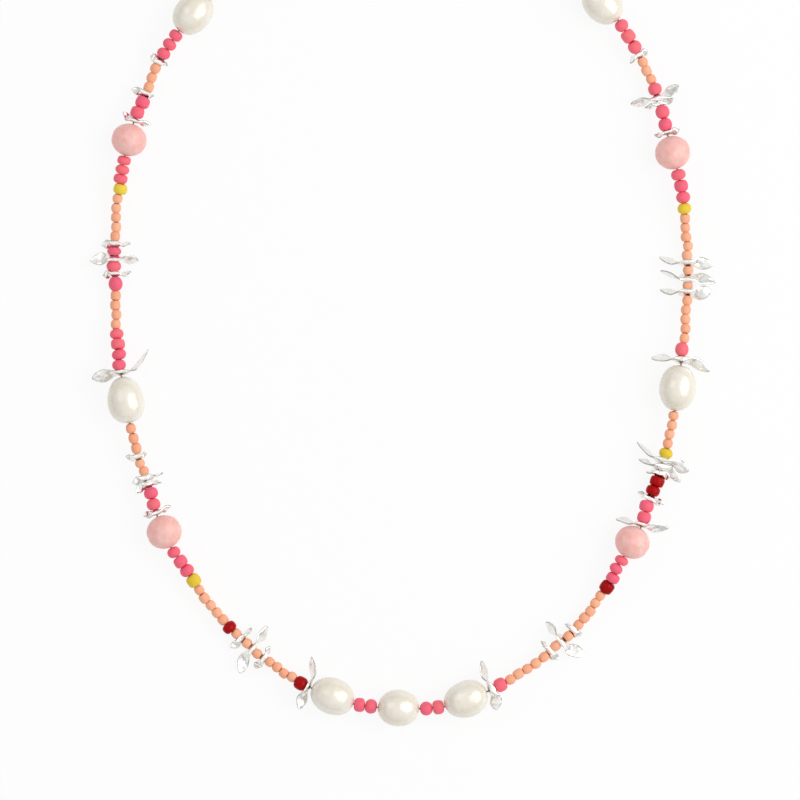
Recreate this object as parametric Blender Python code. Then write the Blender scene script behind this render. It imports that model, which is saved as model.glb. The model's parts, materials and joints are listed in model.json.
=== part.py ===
"""Pearl and seed bead necklace, laid flat with its clasp undone.

Lengths are written in millimetres and turned into metres when each mesh is made. The necklace
lies in the XY plane with +Z up. The centre pearl is at the bottom of the loop, and each side is
threaded outward from it along one beading wire: every bead, quartz, pearl and flake takes its
place by its length along the wire's own route.
"""
import math
import random

import bmesh
import bpy
import numpy as np
from mathutils import Matrix, Vector

# ---------------------------------------------------------------- driving sizes (mm)
WIRE_DIA = 0.36          # nylon coated beading wire
WIRE_PLAY = 0.24         # air round the wire in every bead
SEED_BORE = WIRE_DIA + 2 * WIRE_PLAY
SEED_GAP = 0.12          # air between a crimp and the last bead
NECK_WALL = 0.20
NECK_DIA = SEED_BORE + 2 * NECK_WALL         # joins a run's beads, and its flakes ride on it
RUN_END_LIP = 0.16       # a run's first and last bead are this much wider than the neck at their end
SLEEVE_END = 0.15        # air between a pearl's mouth and the neck of the next run
MOUTH_GAP = 0.30         # air at a pearl's or quartz's mouth, where the strand flexes
PEACH_DIA = 2.20
PINK_DIA = 3.05
YELLOW_DIA = 3.00
RED_DIA = 3.10
SEED_SIDES = 6
SEED_FULLNESS = 1.05     # a bead's corners stand out by this, so that its flats are not too lean
SEED_SEAM = 0.64         # a run narrows to this share of its width between two beads
PEARL_DIA = 7.90
CENTRE_PEARL_LENGTH = 9.00
QUARTZ_DIA = 7.45
FLAKE_THICK = 0.50       # a flake's metal
FLAKE_DISH = 0.16        # how far its face is hollowed
FLAKE_PLAY = 0.20        # air between a flake's hole and the neck that it rides on
FLAKE_HOLE = NECK_DIA + 2 * FLAKE_PLAY
HELD_HOLE = (SEED_BORE + NECK_DIA) / 2       # in a flake that the run itself holds
FLAKE_RIM = 0.43         # flat metal beside the hole, on the way to each wing
FLAKE_HUB = FLAKE_HOLE / 2 + FLAKE_RIM
FLAKE_WALL = 0.35        # metal left above and below the hole
FLAKE_TWISTED = 0.60     # the share of a wing's reach at which it has its whole twist
SMALL_FLAKE = 4.0        # a flake that reaches less far than this has one station fewer in a wing
STRAND_HEIGHT = 1.85     # the wire's height where only small beads carry it
LIFT_REACH = 18.0        # length over which a large bead lets the wire down again
LYING_CLEAR = 0.05       # air under what lies on the surface
WIRE_STEP = 6.2          # longest stretch between two points of the wire's route
WIRE_LEG = WIRE_DIA / 2 + 0.14               # each of a crimp's two strands, from its middle
CRIMP_PLAY = 0.275       # air between the strands and the crimp
CRIMP_WALL = 0.425
CRIMP_BORE = 2 * (WIRE_LEG + WIRE_DIA / 2 + CRIMP_PLAY)
CRIMP_DIA = CRIMP_BORE + 2 * CRIMP_WALL
CRIMP_LENGTH = 2.60
LOOP_WIDTH = 2.40        # the wire's end loop, across its middle line
LOOP_LENGTH = 2.90
RING_WIRE = 0.60         # jump rings
RING_DIA = 3.60          # over the outside
RING_PLAY = 0.15         # air between a ring and the wire it hangs on
CLASP_THICK = 2.80
CLASP_EYE_RADIUS = 1.30  # middle line of the clasp's eye
CLASP_EYE_WIRE = 0.90
CLASP_HANG = 0.40        # how far the clasp may hang below the middle of its ring
LEVER_THICK = 1.00
LEVER_PLAY = 0.15        # air on each side of the lever in its slot
RIVET_DIA = 0.80
RIVET_PLAY = 0.10        # air round the rivet
RIVET_SUNK = 0.02        # the rivet's ends, below the clasp's faces
SPRING_DIA = 0.75
SPRING_WIRE = 0.16
SPRING_SEAT = 0.06       # air at each end of the spring

# ---------------------------------------------------------------- colours (linear)
MATERIALS = {
    "pearl": ((0.84, 0.78, 0.66), 0.22, 0.0),
    "pink": ((0.90, 0.10, 0.17), 0.62, 0.0),
    "peach": ((0.95, 0.40, 0.22), 0.62, 0.0),
    "yellow": ((0.83, 0.62, 0.03), 0.55, 0.0),
    "red": ((0.42, 0.004, 0.012), 0.30, 0.0),
    "quartz": ((0.93, 0.42, 0.38), 0.55, 0.0),
    "silver": ((0.90, 0.89, 0.87), 0.22, 1.0),
    "wire": ((0.62, 0.62, 0.62), 0.35, 0.6),
    "spring": ((0.45, 0.45, 0.46), 0.35, 1.0),
}
# the angle in degrees from which an edge stays sharp: a quartz shows its flats
SHARP_FROM = {"quartz": 5, "silver": 40, "spring": 60, "pearl": 80}
for seed in ("pink", "peach", "yellow", "red"):
    SHARP_FROM[seed] = 80

# ---------------------------------------------------------------- the route of the wire (mm)
# The curve that the strand lies in, from the centre pearl to each end, chosen by eye.
LAID_WIDTH = 123.3       # the loop as it is laid out, across its widest place
LAID_LENGTH = 168.6      # and from the centre pearl to where the ends meet
LEFT_ROUTE = (
    (0.0, 0.0), (-8.2, 0.6), (-14.0, 2.6), (-20.9, 5.4), (-27.7, 9.7), (-33.1, 14.0),
    (-39.6, 21.1), (-45.6, 29.7), (-50.3, 37.4), (-53.9, 48.4), (-56.5, 55.9), (-58.5, 66.2),
    (-60.2, 77.0), (-60.8, 87.7), (-61.1, 95.9), (-60.6, 106.0), (-59.6, 113.1), (-57.8, 122.3),
    (-55.0, 130.1), (-52.0, 137.4), (-48.0, 143.9), (-43.2, 150.3), (-36.5, 156.8),
    (-28.0, 162.3), (-19.0, 166.0), (-9.5, 168.2), (0.0, 168.6),
)
RIGHT_ROUTE = (
    (0.0, 0.0), (8.4, 0.1), (15.2, 2.0), (22.4, 5.2), (28.2, 8.8), (34.2, 13.4), (40.5, 19.8),
    (44.8, 26.2), (48.6, 33.0), (51.0, 35.8), (53.5, 43.9), (55.7, 49.0), (57.8, 56.4),
    (59.1, 63.5), (60.0, 69.5), (61.1, 78.0), (61.9, 87.1), (62.2, 95.0), (61.8, 101.9),
    (61.4, 106.0), (60.6, 112.5), (58.5, 119.9), (56.5, 128.0), (54.0, 135.3), (50.5, 142.2),
    (46.2, 148.6), (39.5, 155.4), (31.0, 161.4), (21.5, 165.6), (11.5, 168.0), (0.0, 168.6),
)


# How much of each side's course is kept free of beads, for the crimp, the rings and the clasp.
LEFT_END_ROOM = 23.8
RIGHT_END_ROOM = 14.3
FILLED = None            # as many beads as fit before that room


# A flake: (slot on the wire, reach outward, lean of that tip, reach inward, lean of that tip,
# widest width, twist of its wings in degrees, roll about the wire in degrees).
def flake(slot, out, out_lean, inward, in_lean, width, twist, roll=0.0):
    return ("flake", slot, (out, out_lean, inward, in_lean, width, twist, roll))


def seeds(kind, count, length):
    return (kind, count, length)


def pearl(length, taper=0.0):
    return ("pearl", length, taper)


def quartz(length):
    return ("quartz", length, 0.0)


# ---------------------------------------------------------------- stringing order
# Each side is read outward from the centre pearl. A section is one body: it ends where the
# strand flexes, at the mouth of a pearl or quartz.
LEFT_STRING = (
    ("centre_left", "beads", (seeds("pink", 2, 2.50),)),
    ("left_first", "pearl", (pearl(9.70),)),
    ("left_lower", "beads", (
        flake(1.20, 5.3, -0.5, 5.9, 2.4, 3.6, 50), seeds("red", 1, 2.65), seeds("peach", 4, 1.90),
        flake(1.33, 2.9, 0.5, 2.9, 0.6, 2.7, -50), seeds("peach", 1, 2.00),
        flake(1.20, 5.7, -1.4, 5.8, 0.5, 3.8, -55), seeds("peach", 1, 1.80),
        flake(1.30, 2.9, 0.4, 3.3, 0.1, 2.6, 50), seeds("peach", 1, 1.85),
        seeds("red", 1, 2.15), seeds("peach", 5, 2.06), seeds("yellow", 1, 2.65),
        seeds("pink", 3, 2.42))),
    ("left_lower", "quartz", (quartz(7.30),)),
    ("left_middle", "beads", (
        flake(1.50, 2.9, 0.1, 3.4, 0.5, 2.7, -50), seeds("pink", 2, 2.43),
        flake(1.33, 3.0, -0.8, 3.0, -0.2, 3.0, 52, 12), flake(1.55, 3.0, 0.1, 3.9, 0.1, 2.9, 40),
        seeds("peach", 2, 1.83), flake(1.29, 2.5, 0.8, 1.9, 0.2, 2.5, 40),
        seeds("peach", 3, 2.22))),
    ("left_middle", "pearl", (pearl(10.20, -0.10),)),
    ("left_upper", "beads", (
        flake(1.40, 6.3, -0.4, 6.5, 4.0, 3.8, 48), seeds("pink", 4, 2.22),
        seeds("peach", 4, 2.05), seeds("pink", 1, 3.00), flake(1.20, 2.5, -0.2, 3.6, 0.3, 2.7, 50),
        seeds("pink", 1, 2.20), flake(1.25, 5.1, -0.7, 5.2, -0.4, 3.9, -58),
        seeds("pink", 1, 1.70), flake(1.40, 2.8, -0.3, 3.4, 0.2, 2.8, 52),
        seeds("peach", 5, 2.01), seeds("yellow", 1, 2.28), seeds("pink", 3, 2.00))),
    ("left_upper", "quartz", (quartz(7.10),)),
    ("left_top", "beads", (
        flake(1.37, 3.0, 0.7, 3.6, 0.4, 2.8, -50), seeds("pink", 2, 2.47),
        flake(1.20, 3.2, -0.1, 1.9, 0.3, 2.6, 48), seeds("peach", 3, 2.15),
        flake(1.40, 2.6, 0.5, 1.9, 0.1, 2.4, -40), seeds("pink", 3, 2.29))),
    ("left_top", "pearl", (pearl(9.80),)),
    ("left_tail", "beads", (seeds("pink", 2, 2.45), seeds("peach", FILLED, 2.04))),
)
RIGHT_STRING = (
    ("centre_right", "beads", (seeds("pink", 2, 2.62),)),
    ("right_first", "pearl", (pearl(9.70, 0.06),)),
    ("right_lower", "beads", (
        flake(1.95, 4.4, -1.0, 6.4, 0.7, 3.8, 52), seeds("pink", 1, 2.60),
        seeds("peach", 5, 2.16), flake(1.30, 2.6, 0.5, 2.9, 0.0, 2.7, 50),
        seeds("peach", 1, 2.25), flake(1.35, 5.6, 1.1, 5.3, 0.3, 3.8, -55),
        seeds("peach", 1, 1.83), flake(1.44, 2.1, 0.7, 2.2, -0.2, 2.5, 45),
        seeds("peach", 5, 1.96), seeds("red", 1, 2.58), seeds("pink", 3, 2.11))),
    ("right_lower", "quartz", (quartz(7.10),)),
    ("right_middle", "beads", (
        flake(1.30, 5.7, 0.9, 5.6, -0.4, 3.8, 40), seeds("pink", 2, 2.42),
        flake(1.29, 3.2, 0.0, 2.9, 0.2, 2.7, -48), seeds("red", 2, 2.15),
        flake(1.30, 2.4, 0.0, 2.8, -0.3, 2.6, 42), flake(1.50, 4.8, -1.6, 5.2, 0.5, 3.6, 45, -8),
        flake(1.50, 5.8, -0.4, 6.6, 2.4, 3.7, 45, 8), seeds("yellow", 1, 2.10),
        seeds("peach", 4, 2.04))),
    ("right_middle", "pearl", (pearl(10.00),)),
    ("right_upper", "beads", (
        flake(1.90, 6.2, -1.7, 6.4, -0.3, 3.8, 48), seeds("pink", 1, 2.80),
        seeds("peach", 5, 2.04), flake(1.30, 5.2, 0.6, 5.8, 0.3, 3.8, 52),
        seeds("peach", 1, 1.83), flake(1.50, 5.9, -1.0, 5.8, 1.5, 3.7, -42),
        seeds("peach", 1, 1.75), flake(1.35, 5.5, -0.4, 6.0, 1.3, 3.6, 52),
        seeds("peach", 5, 1.98), seeds("yellow", 1, 2.30), seeds("pink", 3, 2.47))),
    ("right_upper", "quartz", (quartz(7.30),)),
    ("right_top", "beads", (
        flake(1.20, 2.8, 0.0, 2.8, 0.1, 2.6, 48), seeds("pink", 2, 2.74),
        flake(1.30, 3.2, 0.0, 3.2, 0.0, 2.7, -45), flake(1.30, 5.2, 1.2, 5.8, 0.5, 3.7, -50),
        seeds("pink", 1, 2.47), seeds("peach", 3, 2.08), flake(1.20, 2.1, 0.0, 2.5, -0.6, 2.5, 45),
        seeds("pink", 3, 2.69))),
    ("right_top", "pearl", (pearl(9.80),)),
    ("right_tail", "beads", (seeds("pink", 2, 2.45), seeds("peach", FILLED, 2.04))),
)
SEED_DIA = {"peach": PEACH_DIA, "pink": PINK_DIA, "yellow": YELLOW_DIA, "red": RED_DIA}
MM = 0.001
rng = random.Random(7)


# ---------------------------------------------------------------- small tools
def spline(points, spacing=0.25):
    """A smooth curve through hand chosen points, read as many close points (Catmull-Rom)."""
    p = [np.array(q, float) for q in points]
    p = [2 * p[0] - p[1]] + p + [2 * p[-1] - p[-2]]
    out = []
    for a, b, c, d in zip(p, p[1:], p[2:], p[3:]):
        n = max(2, int(np.linalg.norm(c - b) / spacing))
        for i in range(n):
            t = i / n
            out.append(0.5 * (2 * b + (c - a) * t + (2 * a - 5 * b + 4 * c - d) * t * t
                              + (3 * b - a - 3 * c + d) * t ** 3))
    out.append(p[-2])
    return np.array(out)


def laid(route):
    """The chosen points, spread to the width and length that the loop is laid out to."""
    chosen_width = max(x for x, _ in RIGHT_ROUTE) - min(x for x, _ in LEFT_ROUTE)
    chosen_length = RIGHT_ROUTE[-1][1]
    return [(x * LAID_WIDTH / chosen_width, y * LAID_LENGTH / chosen_length) for x, y in route]


class Flat:
    """A curve in the XY plane that is read by its length."""

    def __init__(self, points):
        self.p = spline(points)
        step = np.linalg.norm(np.diff(self.p, axis=0), axis=1)
        self.s = np.concatenate([[0.0], np.cumsum(step)])

    def at(self, s):
        return np.array([np.interp(s, self.s, self.p[:, 0]), np.interp(s, self.s, self.p[:, 1])])


def rise(x):
    """1 at 0, falling smoothly to 0 at 1."""
    x = min(max(x, 0.0), 1.0)
    return 0.5 * (1 + math.cos(math.pi * x))


def ease(x):
    x = min(max(x, 0.0), 1.0)
    return x * x * (3 - 2 * x)


def new_object(name, bm, material, origin):
    """A named object from a mesh in mm, with its origin on its joint."""
    bmesh.ops.recalc_face_normals(bm, faces=bm.faces)
    mesh = bpy.data.meshes.new(name)
    bm.to_mesh(mesh)
    bm.free()
    obj = bpy.data.objects.new(name, mesh)
    bpy.context.scene.collection.objects.link(obj)
    mesh.transform(Matrix.Scale(MM, 4) @ Matrix.Translation(-Vector(origin)))
    obj.location = Vector(origin) * MM
    mesh.materials.append(painted(material))
    mesh.shade_smooth()
    mesh.set_sharp_from_angle(angle=math.radians(SHARP_FROM[material]))
    return obj


def painted(material):
    """The material of that name, made when it is first asked for."""
    mat = bpy.data.materials.get(material)
    if mat is None:
        mat = bpy.data.materials.new(material)
        mat.use_nodes = True
        colour, rough, metal = MATERIALS[material]
        shader = mat.node_tree.nodes["Principled BSDF"]
        shader.inputs["Base Color"].default_value = (*colour, 1.0)
        shader.inputs["Roughness"].default_value = rough
        shader.inputs["Metallic"].default_value = metal
        mat.diffuse_color = (*colour, 1.0)
    return mat


def combine(obj, other, operation):
    """Joins or cuts with another object, which stays hidden as its cutter."""
    other.hide_render = True
    other.display_type = "WIRE"
    modifier = obj.modifiers.new(operation.lower() + "_" + other.name, "BOOLEAN")
    modifier.operation = operation
    modifier.solver = "EXACT"
    modifier.object = other


def frame(origin, along, outward):
    """Axes at a place on the wire: x along it, y outward from the loop, z up."""
    x = Vector(along).normalized()
    y = Vector(outward)
    y = (y - x * y.dot(x)).normalized()
    z = Vector((0, 0, 1))
    z = (z - x * z.dot(x) - y * z.dot(y)).normalized()
    return Matrix(((x.x, y.x, z.x, origin[0]), (x.y, y.y, z.y, origin[1]),
                   (x.z, y.z, z.z, origin[2]), (0, 0, 0, 1)))


def turned(bm, place, profile, sides, start=0.0):
    """A closed ring of (position along x, radius) points turned about the local x axis."""
    rings = []
    for i in range(sides):
        angle = start + 2 * math.pi * i / sides
        ring = []
        for x, r in profile:
            ring.append(bm.verts.new(place @ Vector((x, r * math.cos(angle), r * math.sin(angle)))))
        rings.append(ring)
    count = len(profile)
    for i in range(sides):
        a, b = rings[i], rings[(i + 1) % sides]
        for k in range(count):
            bm.faces.new((a[k], a[(k + 1) % count], b[(k + 1) % count], b[k]))


def tube(bm, points, radius, sides, closed=False, up=None):
    """A round bar along points, with flat ends or closed on itself."""
    pts = [Vector(p) for p in points]
    n = len(pts)
    rings = []
    normal = Vector(up) if up else None
    for i, p in enumerate(pts):
        if closed:
            t = (pts[(i + 1) % n] - pts[i - 1]).normalized()
        else:
            t = (pts[min(i + 1, n - 1)] - pts[max(i - 1, 0)]).normalized()
        if normal is None:
            normal = t.orthogonal()
        normal = (normal - t * normal.dot(t)).normalized()
        side = t.cross(normal)
        r = radius[i] if isinstance(radius, (list, tuple)) else radius
        rings.append([bm.verts.new(p + (normal * math.cos(a) + side * math.sin(a)) * r)
                      for a in (2 * math.pi * k / sides for k in range(sides))])
    for i in range(n if closed else n - 1):
        a, b = rings[i], rings[(i + 1) % n]
        for k in range(sides):
            bm.faces.new((a[k], a[(k + 1) % sides], b[(k + 1) % sides], b[k]))
    if not closed:
        bm.faces.new(rings[0])
        bm.faces.new(list(reversed(rings[-1])))


# ---------------------------------------------------------------- the pieces on the wire
def add_run(bm, strand, beads, start, end):
    """A run of seed beads: one sleeve along the wire that swells into each bead, each a little
    different, and narrows to a neck wherever a flake rides on it."""
    hole = SEED_BORE / 2
    neck = NECK_DIA / 2
    outer = []                                # (place along the wire, radius, shift off the wire)
    still = Vector((0, 0, 0))
    before = None
    for kind, a, b in beads:
        if kind == "flake":
            for s in (a, b):
                if not outer or outer[-1][0] < s - 0.01:
                    outer.append((s, neck, still))
            before = None
            continue
        big = SEED_DIA[kind] / 2 * SEED_FULLNESS * rng.uniform(0.96, 1.04)
        waist = big * SEED_SEAM
        shift = Vector((0, rng.uniform(-0.10, 0.10), rng.uniform(-0.10, 0.10)))
        length = b - a
        if before is not None:
            outer[-1] = (a, min(waist, before), still)
        else:
            if outer:
                outer.append((a + 0.02, waist, still))
            else:
                outer.append((a, waist, still))
        for share in (0.26, 0.74):
            outer.append((a + length * share, big, shift))
        outer.append((b - 0.02, waist, still))
        before = waist
    mouth = neck + RUN_END_LIP
    outer[0] = (start, min(outer[0][1], mouth), still)
    outer[-1] = (end, min(outer[-1][1], mouth), still)
    bores = [start] + [k for k in strand.knots if start + 0.3 < k < end - 0.3] + [end]
    stations = outer + [(s, hole, still) for s in reversed(bores)]
    rings = []
    for s, r, shift in stations:
        place = strand.place(s - 0.3, s + 0.3)
        if s in (start, end):
            place = strand.place(start, start + 0.6) if s == start else strand.place(end - 0.6, end)
            place.translation = strand.at(s)
        rings.append([bm.verts.new(place @ (shift + Vector((0, r * math.cos(t), r * math.sin(t)))))
                      for t in (2 * math.pi * k / SEED_SIDES for k in range(SEED_SIDES))])
    for i, ring in enumerate(rings):
        after = rings[(i + 1) % len(rings)]
        for k in range(SEED_SIDES):
            j = (k + 1) % SEED_SIDES
            bm.faces.new((ring[k], ring[j], after[j], after[k]))


def add_pearl(bm, place, length, taper):
    """A drilled pearl: a full oval, narrower towards one mouth by its taper."""
    half = (length - MOUTH_GAP) / 2
    a = PEARL_DIA / 2
    hole = SEED_BORE / 2
    profile = [(-half * 0.985, hole), (half * 0.985, hole)]
    steps = 6
    for i in range(steps + 1):
        angle = math.radians(14 + (180 - 28) * i / steps)
        x = half * math.cos(angle) / math.cos(math.radians(14)) * 0.985
        r = a * math.sin(angle) ** 0.92 * (1 + taper * x / half)
        profile.append((x, r))
    turned(bm, place, profile, 12, rng.uniform(0, 1))


def add_quartz(bm, place, length):
    """A drilled quartz ball with faint flats left from its cutting."""
    half = (length - MOUTH_GAP) / 2
    a = QUARTZ_DIA / 2
    hole = SEED_BORE / 2
    profile = [(-half * 0.98, hole), (half * 0.98, hole)]
    for angle in (16, 46, 74, 106, 134, 164):
        x = half * math.cos(math.radians(angle)) / math.cos(math.radians(16)) * 0.98
        profile.append((x, a * math.sin(math.radians(angle)) * 1.01))
    turned(bm, place, profile, 11, rng.uniform(0, 1))


def add_flake(bm, place, shape, hole):
    """One cast flake: a thin two winged leaf with its hole through the middle. Each wing is
    twisted like a propeller's, leans along the wire, and is hollowed a little on its face."""
    out, out_lean, inward, in_lean, width, twist, roll = shape
    place = place @ Matrix.Rotation(math.radians(roll), 4, "X")
    hub = FLAKE_HUB
    thick = FLAKE_THICK / 2
    waist = max(width * 0.72, FLAKE_HOLE + 2 * FLAKE_WALL)

    def section(v, wide, lean, turn, dish):
        d = Vector((math.sin(turn), 0, math.cos(turn)))
        n = Vector((math.cos(turn), 0, -math.sin(turn)))
        c = Vector((lean, v, 0))
        h = wide / 2
        local = (c + d * h + n * thick, c + n * (thick - dish), c - d * h + n * thick,
                 c - d * h - n * thick, c - n * (thick + dish * 0.4), c + d * h - n * thick)
        return [bm.verts.new(place @ p) for p in local]

    # the wings, each from the hub to its tip
    stations = ((0.42, 1.0, 1.0), (0.78, 0.82, 1.0), (1.0, 0.22, 0.2))
    if max(out, inward) < SMALL_FLAKE:
        stations = ((0.55, 1.0, 1.0), (1.0, 0.22, 0.2))
    ends = []
    for side, reach, lean in ((1, out, out_lean), (-1, inward, in_lean)):
        ring = section(side * hub, waist, 0.0, 0.0, 0.0)
        ends.append(ring)
        for share, wide, hollow in stations:
            v = hub + (reach - hub) * share
            turn = math.radians(twist) * side * ease(share / FLAKE_TWISTED)
            nxt = section(side * v, width * wide, lean * share ** 1.6, turn, FLAKE_DISH * hollow)
            for k in range(6):
                bm.faces.new((ring[k], ring[(k + 1) % 6], nxt[(k + 1) % 6], nxt[k]))
            ring = nxt
        bm.faces.new(ring)
    # the hub between them, with its hole
    a, b = ends
    front = [a[0], a[1], a[2], b[2], b[1], b[0]]
    back = [a[5], a[4], a[3], b[3], b[4], b[5]]
    holes = []
    for loop, x in ((front, thick), (back, -thick)):
        ring = []
        for degrees in (60, 0, -60, -120, 180, 120):
            angle = math.radians(degrees)
            y, z = hole / 2 * math.cos(angle), hole / 2 * math.sin(angle)
            ring.append(bm.verts.new(place @ Vector((x, y, z))))
        for k in range(6):
            bm.faces.new((loop[k], loop[(k + 1) % 6], ring[(k + 1) % 6], ring[k]))
        holes.append(ring)
    for k in range(6):
        bm.faces.new((holes[0][k], holes[0][(k + 1) % 6], holes[1][(k + 1) % 6], holes[1][k]))
    # the hub's two edges, above and below the hole
    bm.faces.new((a[0], b[0], b[5], a[5]))
    bm.faces.new((a[2], b[2], b[3], a[3]))


# ---------------------------------------------------------------- laying the strand out
class Strand:
    """One side of the necklace: the wire's course, and where each piece sits on it."""

    def __init__(self, route, string, start, end_room):
        self.flat = Flat(laid(route))
        self.items = []          # (section, group, kind, from, to, data)
        s = start
        for section, group, items in string:
            for item in items:
                if item[0] == "flake":
                    self.items.append((section, group, "flake", s, s + item[1], item[2]))
                    s += item[1]
                elif item[0] in ("pearl", "quartz"):
                    self.items.append((section, group, item[0], s, s + item[1], item[2]))
                    s += item[1]
                else:
                    kind, count, length = item
                    if count is FILLED:
                        count = max(0, math.floor((self.flat.s[-1] - end_room - s) / length))
                    for _ in range(count):
                        self.items.append((section, group, kind, s, s + length, None))
                        s += length
        self.end = s
        self.large = [(0.0, CENTRE_PEARL_LENGTH / 2, PEARL_DIA / 2)]
        for _, _, kind, a, b, _ in self.items:
            if kind in ("pearl", "quartz"):
                r = (PEARL_DIA if kind == "pearl" else QUARTZ_DIA) / 2
                self.large.append(((a + b) / 2, (b - a) / 2, r))
        self.knots = self.make_knots()
        self.course = [self.smooth(s) for s in self.knots]

    def height(self, s):
        """A large bead holds the wire up at its own radius, and lets it down over a reach."""
        z = 0.0
        for middle, half, r in self.large:
            lift = r + LYING_CLEAR - STRAND_HEIGHT
            z = max(z, lift * rise((abs(s - middle) - half) / LIFT_REACH))
        return STRAND_HEIGHT + z

    def smooth(self, s):
        x, y = self.flat.at(s)
        return Vector((x, y, self.height(s)))

    def make_knots(self):
        """The wire is straight through a large bead and bends in short steps between two."""
        knots = []
        stops = [a for m, h, _ in self.large for a in (m - h, m + h)][1:] + [self.end]
        for a, b in zip(stops[0::2], stops[1::2]):
            n = max(1, math.ceil((b - a) / WIRE_STEP))
            knots += [a + (b - a) * i / n for i in range(n + 1)]
        return knots

    def at(self, s):
        """The wire's own course, which every piece is threaded on."""
        if s < self.knots[0]:
            first = self.course[0]
            return Vector((first.x * s / self.knots[0], first.y * s / self.knots[0], first.z))
        return Vector([np.interp(s, self.knots, [p[k] for p in self.course]) for k in range(3)])

    def place(self, a, b):
        p, q = self.at(a), self.at(b)
        along = q - p
        return frame((p + q) / 2, along, self.outward(along))

    def outward(self, along):
        flip = 1 if self.flat.p[40][0] < 0 else -1
        return Vector((along.y, -along.x, 0)) * -flip


HINGES = {}


def build_run(section, strand, items, origin):
    """A section's seed beads as one run, and its flakes. In a stack, the flakes after the first
    are held by the run itself, so their hubs are closed on its neck."""
    start, end = items[0][1], items[-1][2]
    kinds = [kind for kind, *_ in items if kind != "flake"]
    bm = bmesh.new()
    add_run(bm, strand, [item[:3] for item in items], start + SLEEVE_END, end - MOUTH_GAP / 2)
    main = max(set(kinds), key=kinds.count)
    run = new_object(section + "_seed_beads", bm, main, origin)
    number = 0
    for i, (kind, a, b, data) in enumerate(items):
        if kind != "flake":
            continue
        number += 1
        held = i > 0 and items[i - 1][0] == "flake"
        bm = bmesh.new()
        add_flake(bm, strand.place(a, b), data, HELD_HOLE if held else FLAKE_HOLE)
        name = section + ("_held_flake_%d" if held else "_flake_%d") % number
        flake_object = new_object(name, bm, "silver", origin)
        if held:
            combine(run, flake_object, "UNION")


def build_side(route, string, end_room):
    strand = Strand(route, string, CENTRE_PEARL_LENGTH / 2 + 0.15, end_room)
    sections = []
    for section, group, kind, a, b, data in strand.items:
        if not sections or sections[-1][0] != (section, group):
            sections.append(((section, group), []))
        sections[-1][1].append((kind, a, b, data))
    for (section, group), items in sections:
        # a run of beads lifts about the line across the wire, a large bead turns in the plane
        a = items[0][1]
        origin = strand.at(a)
        along = strand.at(a + 0.5) - strand.at(a - 0.5)
        if section.startswith("centre") or section.endswith("_first"):
            origin = Vector((0, 0, 0))
        else:
            axis = strand.outward(along).normalized() if group == "beads" else Vector((0, 0, 1))
            HINGES[section + "_" + group] = (origin.copy(), axis)
        if group == "beads":
            build_run(section, strand, items, origin)
            continue
        bm = bmesh.new()
        kind, a, b, data = items[0]
        if kind == "pearl":
            add_pearl(bm, strand.place(a, b), b - a, data)
        else:
            add_quartz(bm, strand.place(a, b), b - a)
        new_object(section + "_" + kind, bm, kind, origin)
    return strand


# ---------------------------------------------------------------- build
for old in list(bpy.data.objects):
    bpy.data.objects.remove(old, do_unlink=True)

left = build_side(LEFT_ROUTE, LEFT_STRING, LEFT_END_ROOM)
right = build_side(RIGHT_ROUTE, RIGHT_STRING, RIGHT_END_ROOM)
bm = bmesh.new()
a, b = left.at(left.knots[0]), right.at(right.knots[0])
middle = frame((a + b) / 2, b - a, Vector((0, -1, 0)))
add_pearl(bm, middle, CENTRE_PEARL_LENGTH, 0.0)
new_object("centre_pearl", bm, "pearl", (0, 0, 0))


# ---------------------------------------------------------------- the wire and its two ends
def end_frame(strand):
    """Axes where the wire leaves its last bead: x along it, y outward, z up."""
    p = strand.at(strand.end)
    along = p - strand.at(strand.end - 1.0)
    along.z = 0
    return frame(p, along, strand.outward(along))


CRIMP_FROM = SEED_GAP
CRIMP_TO = CRIMP_FROM + CRIMP_LENGTH
LOOP_END = CRIMP_TO + LOOP_LENGTH            # the loop's middle line at its far end
RING_NEAR = LOOP_END - WIRE_DIA / 2 - RING_WIRE / 2 - RING_PLAY
RING_MIDDLE = RING_NEAR + (RING_DIA - RING_WIRE) / 2
RING_FAR = RING_MIDDLE + (RING_DIA - RING_WIRE) / 2


def loop_points(place):
    """The wire's way through its crimp, round its loop and back into the crimp."""
    w = LOOP_WIDTH / 2
    half = (CRIMP_TO + LOOP_END) / 2
    local = ((CRIMP_FROM + 0.35, -WIRE_LEG), (CRIMP_TO, -WIRE_LEG), (half - 0.55, -w * 0.8),
             (half + 0.35, -w), (LOOP_END - 0.35, -w * 0.7), (LOOP_END, 0.0),
             (LOOP_END - 0.35, w * 0.7), (half + 0.35, w), (half - 0.55, w * 0.8),
             (CRIMP_TO, WIRE_LEG), (CRIMP_FROM + 0.9, WIRE_LEG))
    return [place @ Vector((t, n, 0)) for t, n in local]


left_end, right_end = end_frame(left), end_frame(right)
route = list(reversed(loop_points(left_end)))
route += [left.at(left.end)] + list(reversed(left.course[:-1]))
route += right.course[:-1] + [right.at(right.end)]
route += loop_points(right_end)
curve = bpy.data.curves.new("beading_wire", "CURVE")
curve.dimensions = "3D"
spline_data = curve.splines.new("POLY")
spline_data.points.add(len(route) - 1)
for point, p in zip(spline_data.points, route):
    point.co = (*(p * MM), 1.0)
curve.bevel_depth = WIRE_DIA / 2 * MM
curve.bevel_resolution = 2
curve.use_fill_caps = True
wire = bpy.data.objects.new("beading_wire", curve)
bpy.context.scene.collection.objects.link(wire)
curve.materials.append(painted("wire"))


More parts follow.
